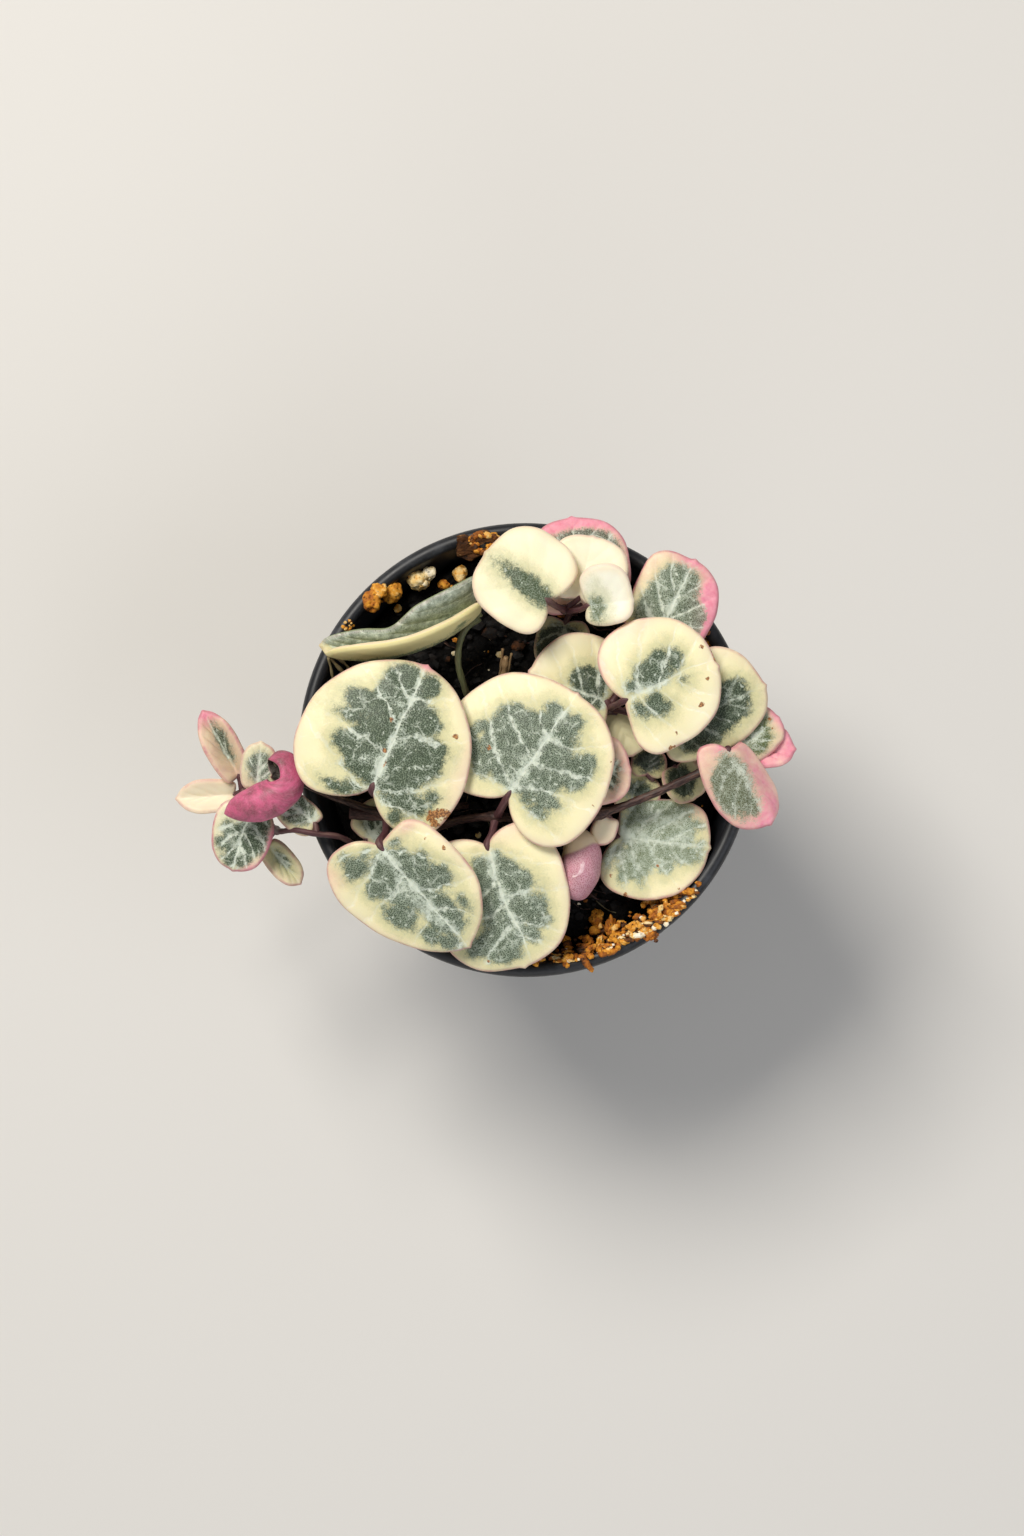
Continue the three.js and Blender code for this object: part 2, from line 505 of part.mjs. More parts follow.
// ---- potting mix ----
const ripple = (x, y) => 0.45 * Math.sin(0.83 * x + 1.1) * Math.cos(0.71 * y - 0.4)
  + 0.3 * Math.sin(1.7 * x - 1.2 * y + 0.6) + 0.2 * Math.cos(2.3 * y + 0.9 * x);
const soilTop = (x, y) => {
  const r = Math.hypot(x, y);
  return SOIL_LEVEL + ripple(x, y) - Math.max(0, r - 19) * 0.16;
};
const soilRings = [0, 5, 10, 15, 19, 22.5];
const soilSegments = 30;
const wallAt = (z) => FOOT_RADIUS - 0.2
  + ((outerAt(BAND_FOOT) - WALL - FOOT_RADIUS + 0.2) * (z - 3.4)) / (BAND_FOOT - 3.4) - GAP - 0.15;
const soilProfile = [
  [0, FLOOR_TOP + GAP + 0.1], [FOOT_RADIUS - 1.6, FLOOR_TOP + GAP + 0.1], [wallAt(3.4) - 0.2, 3.9], [wallAt(44.0), 44.0],
  [wallAt(45.4) - 0.1, 46.2],
  ...[...soilRings].reverse().map((r) => [r, 60]),
];
const soilGeometry = lathe(soilProfile, soilSegments);
const soilPosition = soilGeometry.attributes.position;
for (let i = 0; i < soilPosition.count; i += 1) {
  if (soilPosition.getZ(i) > 50) {
    soilPosition.setZ(i, soilTop(soilPosition.getX(i), soilPosition.getY(i)));
  }
}

// A grain is a faceted lump with slightly uneven corners.
function grain(x, y, z, radius, squash = [1, 1, 0.8], detail = 0, turn = x * 7 + y * 3) {
  const g = new THREE.IcosahedronGeometry(radius, detail);
  const p = g.attributes.position;
  for (let i = 0; i < p.count; i += 1) {
    const k = 1 + 0.14 * Math.sin(5.1 * p.getX(i) + turn) * Math.cos(4.3 * p.getY(i) + 2.7 * p.getZ(i));
    p.setXYZ(i, p.getX(i) * k, p.getY(i) * k, p.getZ(i) * k);
  }
  g.scale(...squash);
  g.rotateZ(turn);
  g.translate(x, y, z);
  return solid(g);
}
const onSoil = (x, y, radius, squash, detail) => grain(x, y, soilTop(x, y) - radius * 0.2, radius, squash, detail);

const pumice = [
  onSoil(-12.5, 22.0, 1.9, [1.15, 0.95, 0.8], 1), onSoil(-8.3, 22.4, 1.3, [1, 1, 0.8]),
  onSoil(-16.7, 18.3, 1.5, [1, 1, 0.85]), onSoil(-18.6, 16.2, 1.7, [1.1, 0.9, 0.8]),
  onSoil(-10.7, 20.0, 0.9), onSoil(-6.4, 19.9, 0.7), onSoil(-14.6, 15.6, 0.8), onSoil(-20.0, 12.6, 1.0),
  onSoil(-1.0, 13.2, 0.8), onSoil(1.4, 5.2, 0.9), onSoil(-11.8, 4.4, 1.1),
  onSoil(-14.4, -2.4, 1.2), onSoil(-21.4, -4.6, 1.0), onSoil(-15.4, -15.6, 1.2), onSoil(-3.0, -17.0, 1.1),
  onSoil(5.6, -15.6, 0.9), onSoil(9.4, -20.2, 1.1), onSoil(17.8, 14.6, 1.1), onSoil(20.6, 7.8, 1.0),
  onSoil(14.2, 8.2, 0.9), onSoil(12.4, -20.4, 1.2, [1.2, 0.9, 0.8]), onSoil(21.4, -9.8, 1.0),
];

// Dried crust: lumps that climb the inner wall and lie over the lip.
const crustAt = (degrees, reach, size) => {
  const a = rad(degrees);
  const at = (r, z, s, squash) => grain(r * Math.cos(a), r * Math.sin(a), z, s, squash, 0, degrees);
  const list = [at(23.9, 48.0, 2.2 * size, [1.2, 1.2, 1.05]), at(24.8, 49.8, 1.95 * size, [1.15, 1.15, 0.95])];
  if (reach > 0) list.push(at(26.1, 51.7, 1.75 * size, [1.15, 1.15, 1]));
  if (reach > 1) list.push(at(27.6, 52.7, 1.3 * size, [1.2, 1.2, 0.7]));
  if (reach > 2) list.push(at(28.8, 52.5, 1.1 * size, [1.0, 1.0, 1.1]));
  return list;
};
const crust = [
  ...crustAt(-88, 0, 0.9), ...crustAt(-83, 3, 1.0), ...crustAt(-76, 2, 1.0), ...crustAt(-69, 2, 1.05),
  ...crustAt(-62, 2, 0.95), ...crustAt(-56, 2, 0.85), ...crustAt(-50, 2, 0.74), ...crustAt(-42, 0, 0.72),
  ...crustAt(30, 2, 0.85), ...crustAt(35.5, 2, 0.85),
];

// Dry root fibres and a dead stem stump standing in the mix.
const fibres = [
  tube([[-2.9, 8.8, 46.5], [-2.7, 9.6, 49.2], [-2.5, 11.6, 51.0]], 0.55, 4, 6),
  tube([[-2.6, 12.2, 47.0], [-1.4, 11.7, 50.4], [1.1, 10.2, 49.6], [2.2, 9.4, 47.2]], 0.34, 8, 6),
  tube([[3.9, 9.9, 46.5], [3.8, 9.7, 49.0], [4.3, 8.4, 49.8]], 0.42, 4, 6),
  tube([[-21.4, 10.4, 45.8], [-22.2, 10.2, 49.4], [-23.6, 8.9, 50.6]], 0.36, 5, 6),
  tube([[-21.6, 9.6, 45.8], [-22.8, 11.2, 49.0], [-22.4, 12.6, 50.6]], 0.34, 5, 6),
];

const stemFeet = [
  [mainStem[0], 0.62], [leftStem[0], 0.55], [trailStem[0], 0.45], [topStem[0], 0.5], [rightStem[0], 0.5],
  [edgeStem[0], 0.62], [lowStem[0], 0.42],
];
const holes = stemFeet.map(([[x, y, z], r]) => {
  const depth = 10;
  const g = new THREE.CylinderGeometry(r + 0.75, r + GAP + 0.05, depth, 12);
  g.rotateX(Math.PI / 2);
  g.translate(x, y, z - GAP + depth / 2);
  return solid(g);
});
const mix = mainShell(cut(join([solid(soilGeometry), ...pumice, ...crust, ...fibres]), [lipClearance, ...holes]));

// ---- bark chip ----
const chipShape = new THREE.Shape([
  [-2.6, -0.7], [-1.5, -1.4], [0.2, -1.1], [1.6, -1.5], [2.5, -0.6], [2.3, 0.7], [0.9, 1.3], [-0.8, 1.0], [-2.2, 1.2],
].map(([x, y]) => new THREE.Vector2(x, y)));
const chip = new THREE.ExtrudeGeometry(chipShape, {
  depth: 0.9, bevelEnabled: true, bevelThickness: 0.25, bevelSize: 0.25, bevelSegments: 1, curveSegments: 1,
});
chip.translate(0, 0, -0.45);
chip.rotateX(rad(24));
chip.rotateZ(rad(12));
chip.translate(-6.0, 25.6, 52.6);
const bark = cut(solid(chip), [lipClearance, mix]);

// ---- assembly ----
const plant = new THREE.Group();

function add(name, body, colour, roughness) {
  const material = new THREE.MeshStandardMaterial({ color: colour, roughness, metalness: 0 });
  const mesh = new THREE.Mesh(toGeometry(body), material);
  mesh.name = name;
  plant.add(mesh);
}

add('pot', pot, 0x1b1d21, 0.42);
add('potting_mix', mix, 0x1c1713, 0.95);
add('bark_chip', bark, 0x6b4526, 0.85);
add('leafy_stem_main', join(main), 0x9aa58a, 0.5);
add('leafy_stem_left', join(left), 0x9aa58a, 0.5);
add('leafy_stem_trailing', join(trail), 0xa8ad98, 0.5);
add('leafy_stem_top', join(top), 0xeee8c8, 0.5);
add('leafy_stem_right', join(right), 0xc9cba8, 0.5);
add('leafy_stem_edge', join(edge), 0x9aa58a, 0.5);
add('leafy_stem_low', join(low), 0x8f9a80, 0.5);

export default plant;
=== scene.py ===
"""String of hearts (Ceropegia woodii, variegated) in a small round nursery pot.

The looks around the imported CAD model. Lengths in this file are millimetres unless a name
says otherwise; they become metres in mesh_piece(), where every mesh is finished.
"""
import math
import random
from functools import partial

import bmesh
import bpy
import numpy as np
from mathutils import Matrix, Vector, noise


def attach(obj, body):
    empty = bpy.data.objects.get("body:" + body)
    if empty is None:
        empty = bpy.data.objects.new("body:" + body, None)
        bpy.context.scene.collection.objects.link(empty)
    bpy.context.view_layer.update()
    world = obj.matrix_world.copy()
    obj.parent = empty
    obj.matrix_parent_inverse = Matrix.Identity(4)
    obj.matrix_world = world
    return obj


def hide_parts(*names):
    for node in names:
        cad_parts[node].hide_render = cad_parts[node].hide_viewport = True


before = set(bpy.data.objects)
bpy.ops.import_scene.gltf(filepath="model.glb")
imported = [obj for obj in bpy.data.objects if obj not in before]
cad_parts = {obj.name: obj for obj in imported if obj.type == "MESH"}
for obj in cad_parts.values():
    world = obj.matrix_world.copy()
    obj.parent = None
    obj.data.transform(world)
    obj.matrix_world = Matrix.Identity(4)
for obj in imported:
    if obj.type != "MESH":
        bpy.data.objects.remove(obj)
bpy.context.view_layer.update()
MM = 0.001

# ---- sizes shared with the CAD source ----
RIM_RADIUS = 28.5
POT_HEIGHT = 52.0
FOOT_RADIUS = 20.0
WALL = 1.0
BAND_FOOT = 45.4
FLOOR_TOP = 2.2
SOIL_LEVEL = 47.8
DRAIN_RADIUS = 1.8
DRAIN_CIRCLE = 13.2
BLADE = 1.25
SLIM = 0.82  # the stems' living thickness, as a share of the CAD stems'


# ---- small tools ----
def ink(code, alpha=1.0):
    """An sRGB hex colour as linear values."""
    def lin(c):
        return c / 12.92 if c <= 0.04045 else ((c + 0.055) / 1.055) ** 2.4
    return tuple(lin(int(code[i:i + 2], 16) / 255) for i in (1, 3, 5)) + (alpha,)


def node(tree, kind, inputs=(), stops=(), **settings):
    """Adds a shader node with its settings, and `stops` (place, colour) on a colour scale.
    Its inputs are values, or nodes and sockets to link from."""
    made = tree.nodes.new("ShaderNode" + kind)
    for name, value in settings.items():
        setattr(made, name, value)
    if stops:
        scale = made.color_ramp.elements
        for end, (place, code) in zip((scale[0], scale[1]), (stops[0], stops[-1])):
            end.position = place
            end.color = ink(code)
        for place, code in stops[1:-1]:
            scale.new(place).color = ink(code)
    sockets = [s for s in made.inputs if s.enabled]
    pairs = inputs.items() if isinstance(inputs, dict) else enumerate(inputs)
    for key, value in pairs:
        socket = sockets[key] if isinstance(key, int) else next(s for s in sockets if s.name == key)
        if isinstance(value, bpy.types.Node):
            value = first_output(value)
        if isinstance(value, bpy.types.NodeSocket):
            tree.links.new(value, socket)
        else:
            socket.default_value = value
    return made


def first_output(source):
    return next(out for out in source.outputs if out.enabled)


def material(name, shader_values):
    """A material with one Principled shader, and node() tied to its tree."""
    made = bpy.data.materials.new(name)
    made.use_nodes = True
    for key, value in shader_values.items():
        made.node_tree.nodes["Principled BSDF"].inputs[key].default_value = value
    return made, partial(node, made.node_tree)


def finished(made, **looks):
    """Links the last nodes of a material to the shader's inputs that are named for them."""
    tree = made.node_tree
    for name, source in looks.items():
        socket = tree.nodes["Principled BSDF"].inputs[name.replace("_", " ")]
        tree.links.new(first_output(source), socket)
    return made


def as_object(name, bm, finish=None):
    """A bmesh as an object of the scene."""
    mesh = bpy.data.meshes.new(name)
    bm.to_mesh(mesh)
    bm.free()
    if finish:
        mesh.materials.append(finish)
    made = bpy.data.objects.new(name, mesh)
    bpy.context.scene.collection.objects.link(made)
    return made


def mesh_piece(name, bm, finish, cad_node, slot, marks=None, smooth=True):
    """Turns a bmesh in millimetres into a finished object in metres that rides on the root
    and stands for a node of the CAD model. Each mark is three values, or arrays of them."""
    bmesh.ops.recalc_face_normals(bm, faces=bm.faces[:])
    for face in bm.faces:
        face.smooth = smooth
    bmesh.ops.scale(bm, vec=(MM, MM, MM), verts=bm.verts[:])
    piece = as_object(name, bm, finish)
    for key, values in (marks or {}).items():
        table = np.empty((len(piece.data.vertices), 3), np.float32)
        for column, value in enumerate(values):
            table[:, column] = value
        layer = piece.data.attributes.new(key, "FLOAT_VECTOR", "POINT")
        layer.data.foreach_set("vector", table.ravel())
    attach(piece, "root")
    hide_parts(cad_node)
    return piece


def turned(profile, steps):
    """A skin spun round the upright axis from a profile of (radius, height) corners."""
    bm = bmesh.new()
    corners = [bm.verts.new((r, 0, z)) for r, z in profile]
    lines = [bm.edges.new(pair) for pair in zip(corners, corners[1:])]
    bmesh.ops.spin(bm, geom=corners + lines, cent=(0, 0, 0), axis=(0, 0, 1), dvec=(0, 0, 0),
                   angle=2 * math.pi, steps=steps, use_merge=True, use_duplicate=False)
    bmesh.ops.remove_doubles(bm, verts=bm.verts[:], dist=1e-4)
    return bm


def around(degrees, r, z):
    """The place at an angle round the upright axis, a distance out and a height."""
    a = math.radians(degrees)
    return (r * math.cos(a), r * math.sin(a), z)


def way_length(points):
    return sum((Vector(b) - Vector(a)).length for a, b in zip(points, points[1:]))


def vertex_layer(bm, name):
    """A vector on each vertex of a bmesh, for a material to read."""
    layers = bm.verts.layers.float_vector
    return layers.get(name) or layers.new(name)


def through(points, steps):
    """Evenly spaced places on the smooth (centripetal Catmull-Rom) curve through `points`."""
    p = [np.array(q, float) for q in points]
    p = [2 * p[0] - p[1]] + p + [2 * p[-1] - p[-2]]
    places = []
    for a, b, c, d in zip(p, p[1:], p[2:], p[3:]):
        t0, t1, t2 = (max(1e-6, np.linalg.norm(v - u)) ** 0.5 for u, v in ((a, b), (b, c), (c, d)))
        m1 = ((b - a) / t0 - (c - a) / (t0 + t1) + (c - b) / t1) * t1
        m2 = ((c - b) / t1 - (d - b) / (t1 + t2) + (d - c) / t2) * t1
        for t in np.linspace(0, 1, 25)[:-1]:
            places.append((2 * t ** 3 - 3 * t * t + 1) * b + (t ** 3 - 2 * t * t + t) * m1
                          + (3 * t * t - 2 * t ** 3) * c + (t ** 3 - t * t) * m2)
    places = np.array(places + [p[-2]])
    run = np.concatenate([[0], np.cumsum(np.linalg.norm(np.diff(places, axis=0), axis=1))])
    at = np.linspace(0, run[-1], steps + 1)
    return [Vector([np.interp(s, run, places[:, i]) for i in range(3)]) for s in at], at


def tube(bm, points, radius, step=0.4, sides=12, tint=0.0, seed=0.0, section=None, twist=None):
    """A round stalk along `points`, drawn ring by ring. radius is a function of the way
    along in millimetres, or a number. A `section` of its own, its -y side up, takes the
    place of the circle, and `twist` (shares of the way, degrees) turns it to the left."""
    places, run = through(points, max(4, int(way_length(points) / step)))
    streak, hue = vertex_layer(bm, "streak"), vertex_layer(bm, "hue")
    if section:
        ring = [bm.verts.new((x, y, 0)) for x, y in section]
        edges = [bm.edges.new(pair) for pair in zip(ring, ring[1:] + ring[:1])]
    else:
        ring = bmesh.ops.create_circle(bm, cap_ends=False, segments=sides, radius=1.0)["verts"]
        edges = list({e for v in ring for e in v.link_edges})
    side = Vector((0.31, 0.95, 0.05))
    last = Matrix.Identity(4)
    for i, place in enumerate(places):
        ahead = (places[min(i + 1, len(places) - 1)] - places[max(i - 1, 0)]).normalized()
        if section:
            side = ahead.cross(Vector((0, 0, 1)))
        side = (side - ahead * side.dot(ahead)).normalized()
        wide = radius(run[i]) if callable(radius) else radius
        turn = Matrix((side, ahead.cross(side), ahead)).transposed().to_4x4()
        if twist:
            turn = turn @ Matrix.Rotation(math.radians(np.interp(run[i] / run[-1], *twist)), 4, "Z")
        here = Matrix.Translation(place) @ turn @ Matrix.Scale(wide, 4)
        if i:
            made = bmesh.ops.extrude_edge_only(bm, edges=edges)["geom"]
            ring = [g for g in made if isinstance(g, bmesh.types.BMVert)]
            new_edges = [g for g in made if isinstance(g, bmesh.types.BMEdge)]
            if i == 1:
                bmesh.ops.edgeloop_fill(bm, edges=edges)
            edges = new_edges
        back = last.inverted()
        for v in ring:
            flat = back @ v.co
            v[streak] = (wide * flat.x, wide * flat.y, run[i] * 0.16 + seed)
            v[hue] = (tint, run[i], seed)
        bmesh.ops.transform(bm, matrix=here @ back, verts=ring)
        last = here
    bmesh.ops.edgeloop_fill(bm, edges=edges)


# The first seed of each kind of lump: each lump has a seed, and so a shape, of its own. A
# swarm seed says how a swarm of them is scattered.
STONE_SEED, STONE_SWARM_SEED, STONE_KNOB_SEED = 40, 900, 500
CLUSTER_SWARM_SEED, CLUSTER_SEED = 70, 1300
FILM_SEED, CRUST_SEED, WALL_GRAIN_SEED, BEAD_SEED = 2000, 3000, 4000, 5000
STRAND_SEED, CURL_SEED, KNOT_SEED, KNOT_BED_SEED = 5100, 6000, 7000, 7100
CRUMB_SWARM_SEED, CRUST_SWARM_SEED, FIBRE_SWARM_SEED, KNOT_SWARM_SEED = 11, 5, 23, 31


def lump(bm, at, size, seed, detail, rough, squash, tone, pits):
    """An uneven grain: an icosphere whose corners are pushed in and out by noise. `tone` is
    its place on the scale of the grains' colours, `pits` how strongly its pores show."""
    layer = vertex_layer(bm, "tone")
    rng = random.Random(seed)
    turn = Matrix.Rotation(rng.uniform(0, 6.28), 4, Vector((rng.uniform(-1, 1), rng.uniform(-1, 1), 1)))
    verts = bmesh.ops.create_icosphere(bm, subdivisions=detail, radius=1.0)["verts"]
    shift = Vector((seed * 1.7, seed * 0.9, 3.1))
    for v in verts:
        d = noise.noise(v.co * 1.1 + shift)
        if detail > 1:
            d += 0.5 * noise.noise(v.co * 2.7 + shift)
        if detail > 2:
            d += 0.28 * noise.noise(v.co * 6.5 + shift)
        v.co *= 1 + rough * 1.6 * d
        v[layer] = (tone, pits, 0)
    scale = Matrix.Diagonal((size * squash[0], size * squash[1], size * squash[2], 1))
    bmesh.ops.transform(bm, matrix=Matrix.Translation(at) @ scale @ turn, verts=verts)


def gathered(draw, shapes, batch=24):
    """One bmesh of many small shapes, each the arguments of one call of `draw`. They are
    drawn in small batches, because an operator's time grows with all that its bmesh holds."""
    whole, part = bmesh.new(), bmesh.new()
    for i, arguments in enumerate(shapes):
        draw(part, *arguments)
        if i % batch == batch - 1 or i == len(shapes) - 1:
            mesh = bpy.data.meshes.new("batch")
            part.to_mesh(mesh)
            whole.from_mesh(mesh)
            bpy.data.meshes.remove(mesh)
            part.free()
            part = bmesh.new()
    part.free()
    return whole


# ---- leaves: the CAD blades, redrawn finely ----
def leaf(name, at, head, L, left, right, stalk, width, **more):
    """One leaf: its notch, heading and length; left and right are (width, lobe, fullest,
    shoulder, fold, curl) of its halves, and right may be a width alone where the rest is
    the same; stalk is the way of its petiole up to the notch, width the petiole's radius.

    Shape: tip (0 round, 1 pointed), pitch and roll (degrees), bow and sway of its length,
    wave and waves of its edge, thick, dent (depth, place, spread) in its right half, relief
    and lines of its veins, the midrib's course. A rolled leaf has a route, plump (its half
    widths), a twist, creases and a cuff.
    Looks: patch and isles of green, blush and pink, rim (its pink line), stain, pale, olive,
    silver, painted shade (shade painted into the colour of a leaf that lies in shade), ribs (how
    strongly its veins show), tint of the petiole."""
    base = dict(tip=0, pitch=0, roll=0, bow=0, sway=0, wave=0, waves=1.5, thick=BLADE, dent=None,
                relief=1.0, veins=(None, None), rib=((0, 0), (20, 0)), crease=(), cuff=None, twist=None,
                patch=(), isles=(), blush=(), pink=0.0, rim=0.6, stain=(), pale=0.28, olive=0.0,
                silver=0.5, deep=0.0, ribs=1.0, tint=0.75)
    base.update(more)
    if isinstance(right, float):
        right = (right, *left[1:])
    base.update(name=name, at=at, head=head, L=L, left=left, right=right, stalk=stalk, width=width)
    return base


def bezier(a, b, c, d, steps):
    """Places on the curve from a to d that leaves towards b and arrives from c."""
    t = np.linspace(0.0, 1.0, steps + 1)[:, None]
    a, b, c, d = (np.array(p, float) for p in (a, b, c, d))
    return (1 - t) ** 3 * a + 3 * (1 - t) ** 2 * t * b + 3 * (1 - t) * t * t * c + t ** 3 * d


def half_outline(spec, half, steps):
    """Even steps along the edge of a half blade, from the notch round its lobe to the tip."""
    w, lobe, full, shoulder = half[:4]
    length, tip = spec["L"], spec["tip"]
    low, wide = (0.55 * w, -lobe), (w, full * length)
    line = np.vstack([
        bezier((0, 0), (0.1 * w, -0.6 * lobe), (0.3 * w, -lobe), low, 60),
        bezier(low, (low[0] + 0.605 * (w - low[0]), -lobe),
               (w, wide[1] - 0.55 * (wide[1] + lobe)), wide, 60)[1:],
        bezier(wide, (w, wide[1] + shoulder * (length - wide[1])),
               ((0.62 - 0.42 * tip) * w, length * (1 - 0.1 * tip)), (0, length), 90)[1:],
    ])
    run = np.concatenate([[0], np.cumsum(np.hypot(*np.diff(line, axis=0).T))])
    at = np.linspace(0, run[-1], steps + 1)
    across, ahead = np.interp(at, run, line[:, 0]), np.interp(at, run, line[:, 1])
    if spec["dent"] and half is spec["right"]:
        depth, place, spread = spec["dent"]
        dip = depth * np.exp(-((ahead - place) / spread) ** 2)
        across = across - dip * np.minimum(1, 2 * across / w)
    return across, ahead


def middle(spec, x, y):
    """The blade's middle surface over leaf coordinates: the notch at (0, 0), the tip at +y."""
    length = spec["L"]
    w, fold, cup = (np.where(x < 0, spec["left"][i], spec["right"][i]) for i in (0, 4, 5))
    fold = np.radians(fold)
    s, bend, sign = np.abs(x), np.abs(fold), np.where(fold < 0, -1.0, 1.0)
    rest, flat = np.maximum(s - bend, 0), np.abs(cup) < 1e-6
    safe, slope = np.where(flat, 1.0, cup), fold + cup * rest
    far_x = np.sin(bend) + np.where(flat, rest * np.cos(fold), (np.sin(slope) - np.sin(fold)) / safe)
    far_z = (1 - np.cos(bend)) * sign + np.where(
        flat, rest * np.sin(fold), (np.cos(fold) - np.cos(slope)) / safe)
    side = np.where(x < 0, -1.0, 1.0)
    edge = np.minimum(1, s / w)
    wave = spec["wave"] * edge ** 2 * np.sin(2 * math.pi * spec["waves"] * y / length + side * 1.3)
    px = side * np.where(s <= bend, np.sin(s), far_x)
    px = px + spec["sway"] * 4 * y * (length - y) / length ** 2
    py = y
    pz = np.where(s <= bend, (1 - np.cos(s)) * sign, far_z) + wave
    if abs(spec["bow"]) > 1e-6:
        a = spec["bow"] * y
        py = np.sin(a) / spec["bow"] + pz * np.sin(a)
        pz = (np.cos(a) - 1) / spec["bow"] + pz * np.cos(a)
    roll, pitch, head = (math.radians(spec[k]) for k in ("roll", "pitch", "head"))
    px, pz = px * math.cos(roll) + pz * math.sin(roll), -px * math.sin(roll) + pz * math.cos(roll)
    py, pz = py * math.cos(pitch) - pz * math.sin(pitch), py * math.sin(pitch) + pz * math.cos(pitch)
    return np.stack([px * math.sin(head) + py * math.cos(head) + spec["at"][0],
                     -px * math.cos(head) + py * math.sin(head) + spec["at"][1],
                     pz + spec["at"][2]], axis=1)


def up_normal(spec, x, y):
    """Which way is up on the blade, from the middle surface 0.03 mm to each side."""
    near = 0.03
    across = middle(spec, x + near, y) - middle(spec, x - near, y)
    along = middle(spec, x, y + near) - middle(spec, x, y - near)
    n = np.cross(across, along)
    return n / np.linalg.norm(n, axis=1, keepdims=True)


# Side veins of a half blade, from the notch to the tip: where each leaves the midrib, its
# bend and its end. Distances are shares of the half's width and of the blade's length.
SIDE_VEINS = (
    ((0, 0.015), (0.30, -0.03), (0.78, -0.13)),
    ((0, 0.03), (0.45, 0.05), (0.97, 0.20)),
    ((0, 0.15), (0.42, 0.22), (0.92, 0.50)),
    ((0, 0.33), (0.32, 0.43), (0.76, 0.78)),
    ((0, 0.55), (0.22, 0.65), (0.48, 0.92)),
)


def veins(spec, x, y, rng):
    """How far up the ladder of side veins each place is (whole numbers lie on a vein), and
    the distance between the two veins beside it."""
    phase, gap = np.zeros(len(x)), np.ones(len(x))
    t = np.linspace(0, 1, 24)[:, None]
    for own, half, side in zip(spec["veins"], (spec["left"], spec["right"]), (x < 0, x >= 0)):
        across, share = np.abs(x[side]) / half[0], y[side] / spec["L"]
        heights = []
        for a, b, c in own or SIDE_VEINS:
            shift = np.array((0, 0 if own else rng.uniform(-0.025, 0.025)))
            a, b, c = np.array(a) + shift, np.array(b) + shift, np.array(c) + shift * 1.5
            line = (1 - t) ** 2 * a + 2 * (1 - t) * t * b + t * t * c
            slope = (line[-1] - line[-3])[1] / max(1e-6, (line[-1] - line[-3])[0])
            over = np.maximum(across - line[-1][0], 0) * slope
            heights.append(np.interp(across, line[:, 0], line[:, 1]) + over)
        lines = np.sort(np.vstack([heights[0] - 0.3, heights, heights[-1] + 0.33]), axis=0)
        count = len(heights)
        step = np.clip((share >= lines[1:-1]).sum(axis=0), 0, count)
        pick = np.arange(len(across))
        below, above = lines[step, pick], lines[step + 1, pick]
        room = np.maximum(above - below, 0.02)
        phase[side] = step - 1 + (share - below) / room
        gap[side] = room * spec["L"] * 0.85
    return phase, gap


def spots(places, x, y):
    """A soft sum of round spots (x, y, radius across, radius along, strength)."""
    total = np.zeros(len(x))
    for cx, cy, rx, ry, strength in places:
        total += strength * np.exp(-(((x - cx) / rx) ** 2 + ((y - cy) / ry) ** 2))
    return total


def inside(places, x, y, blend):
    """Millimetres inside (+) or outside (-) the union of ellipses (x, y, rx, ry)."""
    total = np.full(len(x), 1e-9)
    for cx, cy, rx, ry in places:
        depth = (1 - np.hypot((x - cx) / rx, (y - cy) / ry)) * min(rx, ry)
        total += np.exp(np.clip(depth, -8, 8) / blend)
    return blend * np.log(total)


EDGE_STEPS = (0.75, 0.52, 0.33, 0.18, 0.08, 0.02)  # rings on the rounded edge, from its inside out
# Fineness of a blade: the least length, steps along each half's edge, rings above and below.
FINENESS = ((13, 100, 30, 9), (9, 76, 24, 9), (0, 46, 13, 6))


